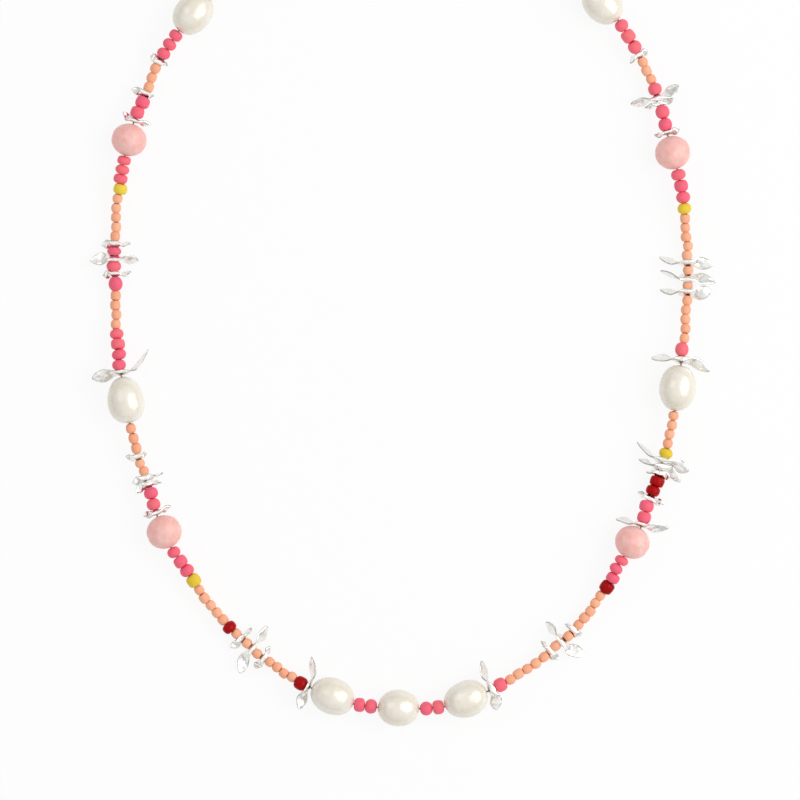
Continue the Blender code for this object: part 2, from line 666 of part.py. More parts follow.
def add_crimp(name, place, origin):
    """A crimp cover: a short round tube over both strands of the wire."""
    bm = bmesh.new()
    half = CRIMP_LENGTH / 2
    mid = CRIMP_DIA / 2
    hole = CRIMP_BORE / 2
    middle = place @ Matrix.Translation(((CRIMP_FROM + CRIMP_TO) / 2, 0, 0))
    profile = ((-half, hole), (half, hole), (half, mid * 0.82), (half * 0.5, mid),
               (-half * 0.5, mid), (-half, mid * 0.82))
    turned(bm, middle, profile, 12)
    new_object(name, bm, "silver", origin)


def ring_points(place, count, radius, flat):
    out = []
    for i in range(count):
        angle = 2 * math.pi * i / count
        a, b = radius * math.cos(angle), radius * math.sin(angle)
        out.append(place @ Vector((a, b, 0) if flat else (a, 0, b)))
    return out


def add_ring(name, place, origin):
    """A jump ring standing on edge, passed through the wire's loop."""
    bm = bmesh.new()
    middle = place @ Matrix.Translation((RING_MIDDLE, 0, 0))
    points = ring_points(middle, 18, (RING_DIA - RING_WIRE) / 2, False)
    tube(bm, points, RING_WIRE / 2, 6, closed=True)
    new_object(name, bm, "silver", origin)


for strand, place, side in ((left, left_end, "left"), (right, right_end, "right")):
    tail_origin = strand.at(next(i[3] for i in strand.items if i[0] == side + "_tail"))
    add_crimp(side + "_crimp", place, tail_origin)
hook_axis = left_end @ Vector((LOOP_END, 0, 0))
HINGES["clasp_ring"] = (hook_axis.copy(), (left_end.to_3x3() @ Vector((0, 1, 0))))
add_ring("clasp_jump_ring", left_end, hook_axis)
closing_axis = right_end @ Vector((LOOP_END, 0, 0))
HINGES["closing_ring"] = (closing_axis.copy(), (right_end.to_3x3() @ Vector((0, 1, 0))))
add_ring("closing_jump_ring", right_end, closing_axis)


def turned_frame(place, at, angle, height):
    """Axes at a place along the last ones, turned about z and set to a height."""
    p = place @ Vector((at, 0, 0))
    p.z = height
    return Matrix.Translation(p) @ place.to_3x3().to_4x4() @ Matrix.Rotation(angle, 4, "Z")


Z_AXIS = Vector((0, 0, 1))


# ---------------------------------------------------------------- lobster clasp
def plate(bm, place, outline, low, high):
    """A flat plate: an outline in the clasp's plane between two heights."""
    top = [bm.verts.new(place @ Vector((u, n, high))) for u, n in outline]
    bottom = [bm.verts.new(place @ Vector((u, n, low))) for u, n in outline]
    count = len(outline)
    bm.faces.new(top)
    bm.faces.new(list(reversed(bottom)))
    for k in range(count):
        bm.faces.new((top[k], bottom[k], bottom[(k + 1) % count], top[(k + 1) % count]))


def pin(bm, place, at, radius, low, high, sides=12):
    outline = [(at[0] + radius * math.cos(2 * math.pi * k / sides),
                at[1] + radius * math.sin(2 * math.pi * k / sides)) for k in range(sides)]
    plate(bm, place, outline, low, high)


# the clasp lies on the surface, unless its ring holds it higher
clasp_height = max(CLASP_THICK / 2 + LYING_CLEAR, left_end.to_translation().z - CLASP_HANG)
clasp_pivot = turned_frame(left_end, RING_FAR, 0.0, clasp_height)
HINGES["clasp"] = (clasp_pivot.to_translation(), Z_AXIS.copy())
eye_at = CLASP_EYE_RADIUS - CLASP_EYE_WIRE / 2 - RING_WIRE / 2 - RING_PLAY
eye_frame = clasp_pivot @ Matrix.Translation((eye_at, 0, 0))
clasp_frame = eye_frame @ Matrix.Translation((CLASP_EYE_RADIUS, 0, 0))
half = CLASP_THICK / 2

# outlines in the clasp's plane, from where the eye joins the body
PIVOT = (2.9, 0.85)      # the lever's rivet
SLOT_FLOOR = -0.35       # the lever's slot is cut down to here
SPRING_AT = 4.08
BODY = ((-0.1, -0.95), (1.1, -1.7), (2.7, -2.15), (4.7, -2.45), (4.7, -1.1), (4.3, 0.3),
        (3.6, 1.5), (2.9, 1.75), (1.9, 1.65), (0.9, 1.25), (-0.1, 0.95))
HOOK = ((3.7, -1.70), (4.9, -1.85), (6.3, -1.95), (7.6, -1.65), (8.6, -0.85), (9.0, 0.2),
        (8.7, 1.25), (7.95, 1.85))
HOOK_RADII = (0.62, 0.80, 0.82, 0.80, 0.76, 0.72, 0.66, 0.58)
LEVER = ((2.12, 0.65), (2.45, 0.20), (3.05, 0.08), (3.70, 0.42), (5.10, 0.98), (7.15, 1.40),
         (7.32, 1.75), (7.20, 2.20), (5.00, 2.05), (4.70, 2.85), (4.15, 2.95), (3.60, 1.80),
         (3.00, 1.62), (2.40, 1.45))
LEVER_UNDERSIDE = 0.42   # over the spring

bm = bmesh.new()
plate(bm, clasp_frame, BODY, -half, half)
clasp = new_object("clasp_body", bm, "silver", clasp_pivot.to_translation())
forms = []
bm = bmesh.new()
tube(bm, ring_points(eye_frame, 16, CLASP_EYE_RADIUS, True), CLASP_EYE_WIRE / 2, 8, closed=True)
forms.append((new_object("clasp_eye_form", bm, "silver", (0, 0, 0)), "UNION"))
bm = bmesh.new()
hook = [clasp_frame @ Vector((u, n, 0)) for u, n in HOOK]
tube(bm, hook, HOOK_RADII, 8, up=(0, 0, 1))
forms.append((new_object("clasp_hook_form", bm, "silver", (0, 0, 0)), "UNION"))
bm = bmesh.new()
slot = LEVER_THICK / 2 + LEVER_PLAY
plate(bm, clasp_frame, ((1.4, SLOT_FLOOR), (5.7, SLOT_FLOOR), (5.7, 3.0), (1.4, 3.0)), -slot, slot)
forms.append((new_object("clasp_slot_cutter", bm, "silver", (0, 0, 0)), "DIFFERENCE"))
bm = bmesh.new()
pin(bm, clasp_frame, PIVOT, RIVET_DIA / 2 + RIVET_PLAY, -half - 1, half + 1)
forms.append((new_object("clasp_rivet_cutter", bm, "silver", (0, 0, 0)), "DIFFERENCE"))
for form, operation in forms:
    combine(clasp, form, operation)

lever_origin = clasp_frame @ Vector((PIVOT[0], PIVOT[1], 0))
HINGES["clasp_lever"] = (lever_origin.copy(), Z_AXIS.copy())
bm = bmesh.new()
plate(bm, clasp_frame, LEVER, -LEVER_THICK / 2, LEVER_THICK / 2)
lever = new_object("clasp_lever", bm, "silver", lever_origin)
bm = bmesh.new()
pin(bm, clasp_frame, PIVOT, RIVET_DIA / 2 + RIVET_PLAY, -2, 2)
combine(lever, new_object("lever_rivet_cutter", bm, "silver", (0, 0, 0)), "DIFFERENCE")
bm = bmesh.new()
pin(bm, clasp_frame, PIVOT, RIVET_DIA / 2, -half + RIVET_SUNK, half - RIVET_SUNK)
new_object("clasp_rivet", bm, "silver", clasp_pivot.to_translation())

# the spring under the lever: a short coil standing on the slot's floor
bm = bmesh.new()
low = SLOT_FLOOR + SPRING_SEAT + SPRING_WIRE / 2
high = LEVER_UNDERSIDE - SPRING_SEAT - SPRING_WIRE / 2
turns, per_turn = 2.5, 9
coil = []
for i in range(int(turns * per_turn) + 1):
    angle = 2 * math.pi * i / per_turn
    coil.append(clasp_frame @ Vector((
        SPRING_AT + (SPRING_DIA - SPRING_WIRE) / 2 * math.cos(angle),
        low + (high - low) * i / (turns * per_turn),
        (SPRING_DIA - SPRING_WIRE) / 2 * math.sin(angle))))
tube(bm, coil, SPRING_WIRE / 2, 5)
new_object("clasp_spring", bm, "spring", clasp_pivot.to_translation())

# ---------------------------------------------------------------- one shared frame
# the middle of the whole piece's footprint comes to the origin, and its lowest point to z = 0
bpy.context.view_layer.update()
graph = bpy.context.evaluated_depsgraph_get()
low = Vector((1e9, 1e9, 1e9))
high = -low
for obj in bpy.data.objects:
    if obj.hide_render:
        continue
    solid = obj.evaluated_get(graph)
    mesh = solid.to_mesh()
    for vertex in mesh.vertices:
        p = obj.matrix_world @ vertex.co
        for k in range(3):
            low[k] = min(low[k], p[k])
            high[k] = max(high[k], p[k])
    solid.to_mesh_clear()
shift = Vector((-(low.x + high.x) / 2, -(low.y + high.y) / 2, -low.z))
for obj in bpy.data.objects:
    obj.location += shift
for name, (point, axis) in HINGES.items():
    point = point * MM + shift
    print("hinge %-24s at %.6f %.6f %.6f axis %.4f %.4f %.4f" % (name, *point, *axis))
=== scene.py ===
# %% [markdown]
# # A necklace of pearls, rose quartz, seed beads and silver flakes
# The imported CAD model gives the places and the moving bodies. This file dresses it: each bead is
# threaded by itself on the same course, each large bead gets a smooth skin, and each flake the
# waves and dents of cast silver. Lengths are in millimetres until a mesh is placed.

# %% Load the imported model
import json
import math
import random
from functools import partialmethod

import bmesh
import bpy
import numpy as np
from mathutils import Matrix, Vector, noise


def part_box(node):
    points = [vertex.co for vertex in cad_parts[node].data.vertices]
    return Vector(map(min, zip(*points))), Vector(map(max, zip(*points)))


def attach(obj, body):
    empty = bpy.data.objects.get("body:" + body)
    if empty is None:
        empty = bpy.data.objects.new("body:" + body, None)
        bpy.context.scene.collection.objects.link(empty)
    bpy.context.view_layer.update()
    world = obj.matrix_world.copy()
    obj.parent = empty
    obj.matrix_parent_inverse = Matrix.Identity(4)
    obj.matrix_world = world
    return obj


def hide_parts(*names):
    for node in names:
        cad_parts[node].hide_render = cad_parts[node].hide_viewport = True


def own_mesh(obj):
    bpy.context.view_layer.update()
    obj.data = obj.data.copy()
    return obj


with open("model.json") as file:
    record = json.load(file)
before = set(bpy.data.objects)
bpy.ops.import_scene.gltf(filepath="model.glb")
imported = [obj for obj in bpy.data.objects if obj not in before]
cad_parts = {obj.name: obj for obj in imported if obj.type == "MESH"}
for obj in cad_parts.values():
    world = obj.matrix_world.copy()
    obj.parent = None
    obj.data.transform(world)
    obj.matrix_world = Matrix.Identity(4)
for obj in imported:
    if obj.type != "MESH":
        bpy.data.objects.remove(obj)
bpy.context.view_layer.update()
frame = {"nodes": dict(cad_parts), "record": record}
MM = 0.001
BODY_OF = {node: body for body, nodes in frame["record"]["behaviour"]["bodies"].items()
           for node in nodes}

# %% [markdown]
# ## The camera
# The photograph looks straight down on the laid out necklace. A long lens far above keeps the
# beads at the edge from leaning, as the photograph's do. The scale comes from the seed beads, and
# the picture is tied down by one pixel: the middle of the centre pearl.

# %% Camera
PICTURE = 800                        # pixels, each way
PIXELS_PER_MM = 4.665
CENTRE_PEARL_PIXEL = (398.4, 708.0)
LENS = 200.0
SENSOR = 36.0

low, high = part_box("centre_pearl")
CENTRE = (low + high) / 2
field = PICTURE / PIXELS_PER_MM * MM


def in_scene(name, data):
    """A new object with this mesh, lamp or camera, linked to the scene."""
    thing = bpy.data.objects.new(name, data)
    bpy.context.scene.collection.objects.link(thing)
    return thing


camera = in_scene("camera", bpy.data.cameras.new("camera"))
camera.data.lens = LENS
camera.data.sensor_width = SENSOR
camera.data.clip_end = 10.0
camera.location = CENTRE + Vector((
    (PICTURE / 2 - CENTRE_PEARL_PIXEL[0]) / PIXELS_PER_MM * MM,
    (CENTRE_PEARL_PIXEL[1] - PICTURE / 2) / PIXELS_PER_MM * MM,
    field * LENS / SENSOR))
bpy.context.scene.camera = camera
bpy.context.scene.view_settings.view_transform = "Standard"
print("camera %.3f m above the necklace, seeing %.1f mm" % (camera.location.z, field / MM))

# %% [markdown]
# ## Node trees written as sums
# Geometry Nodes and materials are graphs, and graphs are slow to read in code. `Net` adds any node
# by one method, and `Link` wraps an output, so that plain arithmetic on it adds the Math nodes.

# %% Link and Net
class Link:
    """One output of a node, ready for arithmetic."""

    def __init__(self, net, socket):
        self.net = net
        self.socket = socket

    def math(self, operation, *others):
        return self.net.math(operation, self, *others)

    def __rsub__(self, other):
        return self.net.math("SUBTRACT", other, self)

    __add__ = partialmethod(math, "ADD")
    __sub__ = partialmethod(math, "SUBTRACT")
    __mul__ = partialmethod(math, "MULTIPLY")
    __truediv__ = partialmethod(math, "DIVIDE")
    __pow__ = partialmethod(math, "POWER")


class Net:
    """A node tree under construction."""

    def __init__(self, tree):
        self.tree = tree

    def add(self, kind, sockets=None, out=0, **settings):
        """Adds a node: its settings first, then the values or links of its sockets."""
        node = self.tree.nodes.new(kind)
        for name, value in settings.items():
            setattr(node, name, value)
        for name, value in (sockets or {}).items():
            if isinstance(value, Link):
                self.tree.links.new(value.socket, node.inputs[name])
            else:
                node.inputs[name].default_value = value
        return Link(self, node.outputs[out]) if node.outputs else node

    def outputs(self, kind, *names):
        """Adds a node and gives several of its outputs."""
        node = self.tree.nodes.new(kind)
        return [Link(self, node.outputs[name]) for name in names]

    def math(self, operation, *values):
        return self.add("ShaderNodeMath", dict(enumerate(values)), operation=operation)

    def vector(self, x, y, z):
        return self.add("ShaderNodeCombineXYZ", {"X": x, "Y": y, "Z": z})

    def split(self, vector):
        """The x, y and z of a vector."""
        parts = self.outputs("ShaderNodeSeparateXYZ", "X", "Y", "Z")
        self.tree.links.new(vector.socket, parts[0].socket.node.inputs[0])
        return parts

    def mix(self, factor, a, b):
        """A colour between two."""
        a, b = ((*c, 1.0) if isinstance(c, tuple) else c for c in (a, b))
        return self.add("ShaderNodeMix", {0: factor, 6: a, 7: b}, out=2, data_type="RGBA")

    def remap(self, value, from_low, from_high, to_low=0.0, to_high=1.0):
        return self.add("ShaderNodeMapRange", {
            "Value": value, "From Min": from_low, "From Max": from_high,
            "To Min": to_low, "To Max": to_high})


# %% [markdown]
# ## The stringing order
# Each side is read outward from the centre pearl. A run of equal beads is its kind, its count and
# the length of one along the wire. A flake is the length it takes on the wire, then how far its
# two wings reach and lean, its width, and the twist of its wings.

# %% Sizes
WIRE_DIA = 0.36
BORE = 0.84
LARGE_DIA = {"pearl": 7.90, "quartz": 7.45}
CENTRE_PEARL_LENGTH = 9.00
MOUTH_GAP = 0.30
MOUTH_AIR = 0.20         # how much shorter a large bead is than its room on the wire
STRAND_HEIGHT = 1.85
LIFT_REACH = 18.0
LYING_CLEAR = 0.05
WIRE_STEP = 6.2
SEED_DIA = {"peach": 2.20, "pink": 3.05, "yellow": 3.00, "red": 3.10}

# %% Where each side lies
LEFT_ROUTE = (
    (0.0, 0.0), (-8.2, 0.6), (-14.0, 2.6), (-20.9, 5.4), (-27.7, 9.7), (-33.1, 14.0),
    (-39.6, 21.1), (-45.6, 29.7), (-50.3, 37.4), (-53.9, 48.4), (-56.5, 55.9), (-58.5, 66.2),
    (-60.2, 77.0), (-60.8, 87.7), (-61.1, 95.9), (-60.6, 106.0), (-59.6, 113.1), (-57.8, 122.3),
    (-55.0, 130.1), (-52.0, 137.4), (-48.0, 143.9), (-43.2, 150.3), (-36.5, 156.8),
    (-28.0, 162.3), (-19.0, 166.0), (-9.5, 168.2), (0.0, 168.6),
)
RIGHT_ROUTE = (
    (0.0, 0.0), (8.4, 0.1), (15.2, 2.0), (22.4, 5.2), (28.2, 8.8), (34.2, 13.4), (40.5, 19.8),
    (44.8, 26.2), (48.6, 33.0), (51.0, 35.8), (53.5, 43.9), (55.7, 49.0), (57.8, 56.4),
    (59.1, 63.5), (60.0, 69.5), (61.1, 78.0), (61.9, 87.1), (62.2, 95.0), (61.8, 101.9),
    (61.4, 106.0), (60.6, 112.5), (58.5, 119.9), (56.5, 128.0), (54.0, 135.3), (50.5, 142.2),
    (46.2, 148.6), (39.5, 155.4), (31.0, 161.4), (21.5, 165.6), (11.5, 168.0), (0.0, 168.6),
)

# %% What is strung on it
def flake(slot, out, out_lean, inward, in_lean, width, twist, roll=0.0):
    return ("flake", 1, slot, out, out_lean, inward, in_lean, width, twist, roll)


LEFT_STRING = (
    ("centre_left", ("pink", 2, 2.50)),
    ("left_first", ("pearl", 1, 9.70)),
    ("left_lower",
     flake(1.20, 5.3, -0.5, 5.9, 2.4, 3.6, 50), ("red", 1, 2.65), ("peach", 4, 1.90),
     flake(1.33, 2.9, 0.5, 2.9, 0.6, 2.7, -50), ("peach", 1, 2.00),
     flake(1.20, 5.7, -1.4, 5.8, 0.5, 3.8, -55), ("peach", 1, 1.80),
     flake(1.30, 2.9, 0.4, 3.3, 0.1, 2.6, 50), ("peach", 1, 1.85), ("red", 1, 2.15),
     ("peach", 5, 2.06), ("yellow", 1, 2.65), ("pink", 3, 2.42), ("quartz", 1, 7.30)),
    ("left_middle",
     flake(1.50, 2.9, 0.1, 3.4, 0.5, 2.7, -50), ("pink", 2, 2.43),
     flake(1.33, 3.0, -0.8, 3.0, -0.2, 3.0, 52, 12), flake(1.55, 3.0, 0.1, 3.9, 0.1, 2.9, 40),
     ("peach", 2, 1.83), flake(1.29, 2.5, 0.8, 1.9, 0.2, 2.5, 40), ("peach", 3, 2.22),
     ("pearl", 1, 10.20, -0.10)),
    ("left_upper",
     flake(1.40, 6.3, -0.4, 6.5, 4.0, 3.8, 48), ("pink", 4, 2.22), ("peach", 4, 2.05),
     ("pink", 1, 3.00), flake(1.20, 2.5, -0.2, 3.6, 0.3, 2.7, 50), ("pink", 1, 2.20),
     flake(1.25, 5.1, -0.7, 5.2, -0.4, 3.9, -58), ("pink", 1, 1.70),
     flake(1.40, 2.8, -0.3, 3.4, 0.2, 2.8, 52), ("peach", 5, 2.01), ("yellow", 1, 2.28),
     ("pink", 3, 2.00), ("quartz", 1, 7.10)),
    ("left_top",
     flake(1.37, 3.0, 0.7, 3.6, 0.4, 2.8, -50), ("pink", 2, 2.47),
     flake(1.20, 3.2, -0.1, 1.9, 0.3, 2.6, 48), ("peach", 3, 2.15),
     flake(1.40, 2.6, 0.5, 1.9, 0.1, 2.4, -40), ("pink", 3, 2.29), ("pearl", 1, 9.80)),
    ("left_tail", ("pink", 2, 2.45), ("peach", 8, 2.04)),
)
RIGHT_STRING = (
    ("centre_right", ("pink", 2, 2.62)),
    ("right_first", ("pearl", 1, 9.70, 0.06)),
    ("right_lower",
     flake(1.95, 4.4, -1.0, 6.4, 0.7, 3.8, 52), ("pink", 1, 2.60), ("peach", 5, 2.16),
     flake(1.30, 2.6, 0.5, 2.9, 0.0, 2.7, 50), ("peach", 1, 2.25),
     flake(1.35, 5.6, 1.1, 5.3, 0.3, 3.8, -55), ("peach", 1, 1.83),
     flake(1.44, 2.1, 0.7, 2.2, -0.2, 2.5, 45), ("peach", 5, 1.96), ("red", 1, 2.58),
     ("pink", 3, 2.11), ("quartz", 1, 7.10)),
    ("right_middle",
     flake(1.30, 5.7, 0.9, 5.6, -0.4, 3.8, 40), ("pink", 2, 2.42),
     flake(1.29, 3.2, 0.0, 2.9, 0.2, 2.7, -48), ("red", 2, 2.15),
     flake(1.30, 2.4, 0.0, 2.8, -0.3, 2.6, 42), flake(1.50, 4.8, -1.6, 5.2, 0.5, 3.6, 45, -8),
     flake(1.50, 5.8, -0.4, 6.6, 2.4, 3.7, 45, 8), ("yellow", 1, 2.10), ("peach", 4, 2.04),
     ("pearl", 1, 10.00)),
    ("right_upper",
     flake(1.90, 6.2, -1.7, 6.4, -0.3, 3.8, 48), ("pink", 1, 2.80), ("peach", 5, 2.04),
     flake(1.30, 5.2, 0.6, 5.8, 0.3, 3.8, 52), ("peach", 1, 1.83),
     flake(1.50, 5.9, -1.0, 5.8, 1.5, 3.7, -42), ("peach", 1, 1.75),
     flake(1.35, 5.5, -0.4, 6.0, 1.3, 3.6, 52), ("peach", 5, 1.98), ("yellow", 1, 2.30),
     ("pink", 3, 2.47), ("quartz", 1, 7.30)),
    ("right_top",
     flake(1.20, 2.8, 0.0, 2.8, 0.1, 2.6, 48), ("pink", 2, 2.74),
     flake(1.30, 3.2, 0.0, 3.2, 0.0, 2.7, -45), flake(1.30, 5.2, 1.2, 5.8, 0.5, 3.7, -50),
     ("pink", 1, 2.47), ("peach", 3, 2.08), flake(1.20, 2.1, 0.0, 2.5, -0.6, 2.5, 45),
     ("pink", 3, 2.69), ("pearl", 1, 9.80)),
    ("right_tail", ("pink", 2, 2.45), ("peach", 12, 2.04)),
)

# %% [markdown]
# ## The course of the wire
# The wire runs straight through a large bead and bends in short steps between two. A large bead
# also holds it up at its own radius, and lets it down again over a short reach. `Strand` works
# out each piece's stretch of the wire, and gives the axes at any place along it.

# %% Strand
def spline(points, spacing=0.25, closed=False):
    """A smooth curve through given points, read as many close points."""
    p = [np.array(q, float) for q in points]
    p = [p[-1]] + p + p[:2] if closed else [2 * p[0] - p[1]] + p + [2 * p[-1] - p[-2]]
    out = []
    for a, b, c, d in zip(p, p[1:], p[2:], p[3:]):
        n = max(2, int(np.linalg.norm(c - b) / spacing))
        for t in (i / n for i in range(n)):
            out.append(0.5 * (2 * b + (c - a) * t + (2 * a - 5 * b + 4 * c - d) * t * t
                              + (3 * b - a - 3 * c + d) * t ** 3))
    return np.array(out if closed else out + [p[-2]])


def axes(origin, along, outward):
    """Axes at a place on the wire: x along it, y outward from the loop, z up."""
    x = Vector(along).normalized()
    y = Vector(outward)
    y = (y - x * y.dot(x)).normalized()
    z = Vector((0, 0, 1))
    z = (z - x * z.dot(x) - y * z.dot(y)).normalized()
    return Matrix.Translation(origin) @ Matrix((x, y, z)).transposed().to_4x4()


class Strand:
    """One side: its pieces in order, and the course of the wire through them."""

    def __init__(self, route, string):
        self.flat = spline(route)
        steps = np.linalg.norm(np.diff(self.flat, axis=0), axis=1)
        self.flat_s = np.concatenate([[0.0], np.cumsum(steps)])
        self.side = 1 if self.flat[40][0] < 0 else -1
        self.pieces = []                     # (section, kind, from, to, data)
        s = CENTRE_PEARL_LENGTH / 2 + MOUTH_GAP / 2
        for section, *items in string:
            for kind, count, length, *data in items:
                for _ in range(count):
                    self.pieces.append((section, kind, s, s + length, data))
                    s += length
        self.end = s
        rooms = [(kind, a, b) for _, kind, a, b, _ in self.pieces if kind in LARGE_DIA]
        self.mouths = {edge for _, *edges in rooms for edge in edges}
        large = [(0.0, CENTRE_PEARL_LENGTH / 2, LARGE_DIA["pearl"] / 2)]     # middle, half, radius
        large += [((a + b) / 2, (b - a) / 2, LARGE_DIA[kind] / 2) for kind, a, b in rooms]
        stops = [edge for m, h, _ in large for edge in (m - h, m + h)][1:] + [self.end]
        self.knots = []
        for a, b in zip(stops[0::2], stops[1::2]):
            n = max(1, math.ceil((b - a) / WIRE_STEP))
            self.knots += [a + (b - a) * i / n for i in range(n + 1)]
        self.course = [self.lying(s, large) for s in self.knots]

    def lying(self, s, large):
        lift = 0.0
        for middle, half, r in large:
            x = min(max((abs(s - middle) - half) / LIFT_REACH, 0.0), 1.0)
            lift = max(lift, (r + LYING_CLEAR - STRAND_HEIGHT) * (1 + math.cos(math.pi * x)) / 2)
        x, y = (np.interp(s, self.flat_s, self.flat[:, k]) for k in range(2))
        return Vector((x, y, STRAND_HEIGHT + lift))

    def at(self, s):
        first = self.knots[0]
        if s < first:
            p = self.course[0]
            return Vector((p.x * s / first, p.y * s / first, p.z))
        return Vector([np.interp(s, self.knots, [p[k] for p in self.course]) for k in range(3)])

    def outward(self, along):
        return Vector((along.y, -along.x, 0)) * -self.side

    def place(self, a, b):
        p, q = self.at(a), self.at(b)
        return axes((p + q) / 2, q - p, self.outward(q - p))


left = Strand(LEFT_ROUTE, LEFT_STRING)
right = Strand(RIGHT_ROUTE, RIGHT_STRING)
middle = (left.at(left.knots[0]) + right.at(right.knots[0])) / 2
SHIFT = CENTRE / MM - middle              # from the string's own origin to the shared frame
print("strung length %.1f mm on the left, %.1f mm on the right" % (left.end, right.end))

# %% [markdown]
# ## Making a piece
# Every visible piece ends as a plain mesh at the origin that stands for its CAD node and rides on
# that node's body. `dress` does it for all of them. Whatever is turned, swept or extruded is a
# row of rings, and `lofted` lays its faces.

# %% Pieces
TO_FRAME = Matrix.Scale(MM, 4) @ Matrix.Translation(SHIFT)


def node_of(section, kind):
    """The CAD node that holds a bead of a section."""
    return "%s_%s" % (section, kind if kind in LARGE_DIA else "seed_beads")


def dress(name, mesh, node, material=None, body=None):
    """Puts a finished mesh in the scene in place of a CAD node."""
    if material:
        mesh.materials.append(material)
    mesh.transform(TO_FRAME)
    piece = in_scene(name, mesh)
    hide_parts(node)
    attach(piece, body or BODY_OF[node])
    return piece


def mesh_of(name, bm):
    mesh = bpy.data.meshes.new(name)
    bm.to_mesh(mesh)
    bm.free()
    return mesh


def lofted(name, rings, turned=False):
    """Faces from each ring of points to the next. A turned form comes back to its first ring,
    and any other form ends in two flat faces."""
    bm = bmesh.new()
    rings = [[bm.verts.new(p) for p in ring] for ring in rings]
    for ring, after in zip(rings, rings[1:] + (rings[:1] if turned else [])):
        for k in range(len(ring)):
            j = (k + 1) % len(ring)
            bm.faces.new((ring[k], ring[j], after[j], after[k]))
    if not turned:
        bm.faces.new(rings[0])
        bm.faces.new(rings[-1])
    bmesh.ops.recalc_face_normals(bm, faces=bm.faces)
    return mesh_of(name, bm)


def baked(source, helpers=()):
    """The plain mesh of an object as its modifiers leave it. Source and helpers are removed."""
    bpy.context.view_layer.update()
    evaluated = source.evaluated_get(bpy.context.evaluated_depsgraph_get())
    mesh = bpy.data.meshes.new_from_object(evaluated)
    for done in (source, *helpers):
        bpy.data.objects.remove(done, do_unlink=True)
    return mesh


def through_nodes(name, mesh, tree, values):
    """Runs a mesh through a Geometry Nodes tree with named inputs, and bakes the result."""
    source = in_scene(name, mesh)
    modifier = source.modifiers.new(name, "NODES")
    modifier.node_group = tree
    sockets = {s.name: s.identifier for s in tree.interface.items_tree if s.in_out == "INPUT"}
    for key, value in values.items():
        modifier[sockets[key]] = value
    return baked(source)


def new_tree(name, inputs):
    """A Geometry Nodes tree with these inputs. Gives its net and its inputs as links."""
    tree = bpy.data.node_groups.new(name, "GeometryNodeTree")
    for key, kind in {"Geometry": "Geometry", **inputs}.items():
        tree.interface.new_socket(key, in_out="INPUT", socket_type="NodeSocket" + kind)
    tree.interface.new_socket("Geometry", in_out="OUTPUT", socket_type="NodeSocketGeometry")
    net = Net(tree)
    return net, dict(zip(("Geometry", *inputs), net.outputs("NodeGroupInput", "Geometry", *inputs)))


def end_tree(net, geometry, material):
    """Smooths a tree's result, gives it its material and hands it over."""
    smooth = net.add("GeometryNodeSetShadeSmooth", {"Geometry": geometry})
    dressed = net.add("GeometryNodeSetMaterial", {"Geometry": smooth, "Material": material})
    net.add("NodeGroupOutput", {0: dressed})
    return net.tree


# %% [markdown]
# ## Finishes
# Each finish starts from one Principled shader and varies what the eye picks up at arm's length:
# a glass bead's own tint, the cream bands of a pearl, the clouds in a quartz, the dents and dark
# pits of silver, with painted shade in its dents and a painted dark reflection along its edges.
# Patterns read Object coordinates, in millimetres.

# %% A finish and its patterns
class Finish(Net):
    """A Principled material with Object coordinates in millimetres."""

    def __init__(self, name, roughness, metallic=0.0, **fixed):
        self.material = bpy.data.materials.new(name)
        self.material.use_nodes = True
        super().__init__(self.material.node_tree)
        self.shader = self.tree.nodes["Principled BSDF"]
        for key, value in {"Roughness": roughness, "Metallic": metallic, **fixed}.items():
            self.shader.inputs[key.replace("_", " ")].default_value = value
        spot = self.add("ShaderNodeTexCoord", out=3)
        self.mm = self.add("ShaderNodeVectorMath", {0: spot, "Scale": 1 / MM}, operation="SCALE")

    def noise(self, scale, detail=2.0, rough=0.5):
        return self.add("ShaderNodeTexNoise", {
            "Vector": self.mm, "Scale": scale, "Detail": detail, "Roughness": rough})

    def feed(self, name, link):
        self.tree.links.new(link.socket, self.shader.inputs[name])

    def bump(self, height, depth, strength=1.0):
        """Relief of a depth in millimetres."""
        self.feed("Normal", self.add("ShaderNodeBump", {
            "Height": height, "Distance": depth * MM, "Strength": strength}))

    def worn(self, grain, smooth, rough, depth):
        """One fine grain sets both the gloss, between two roughnesses, and the relief."""
        self.feed("Roughness", self.remap(grain, 0.3, 0.7, smooth, rough))
        self.bump(grain, depth)


def shade(colour, factor):
    return tuple(min(c * factor, 1.0) for c in colour)


# %% Seed bead glass
# The lightest and the deepest bead of each colour, in one batch.
SEED_COLOURS = {
    "pink": ((0.97, 0.175, 0.205), (0.92, 0.122, 0.215)),
    "peach": ((0.98, 0.490, 0.300), (0.96, 0.410, 0.240)),
    "yellow": ((0.86, 0.650, 0.060), (0.80, 0.560, 0.035)),
    "red": ((0.43, 0.000, 0.002), (0.33, 0.000, 0.001)),
}


def seed_glass(name, light, deep, roughness):
    """Opaque glass, etched matte. Each bead has its own depth of colour, by its tint attribute."""
    glass = Finish(name + "_seed_glass", roughness, IOR=1.5,
                   Specular_IOR_Level=0.12 if name == "red" else 0.25)
    tint = glass.add("ShaderNodeAttribute", out=2, attribute_name="tint")
    own = glass.mix(tint, light, deep)
    cloud = glass.remap(glass.noise(1.6, 3.0), 0.35, 0.70)
    glass.feed("Base Color", glass.mix(cloud * 0.25, own, shade(light, 1.12)))
    glass.worn(glass.noise(14.0, 3.0), roughness - 0.06, roughness + 0.08, 0.010)
    return glass.material


SEED_GLASS = {name: seed_glass(name, light, deep, 0.24 if name == "red" else 0.46)
              for name, (light, deep) in SEED_COLOURS.items()}

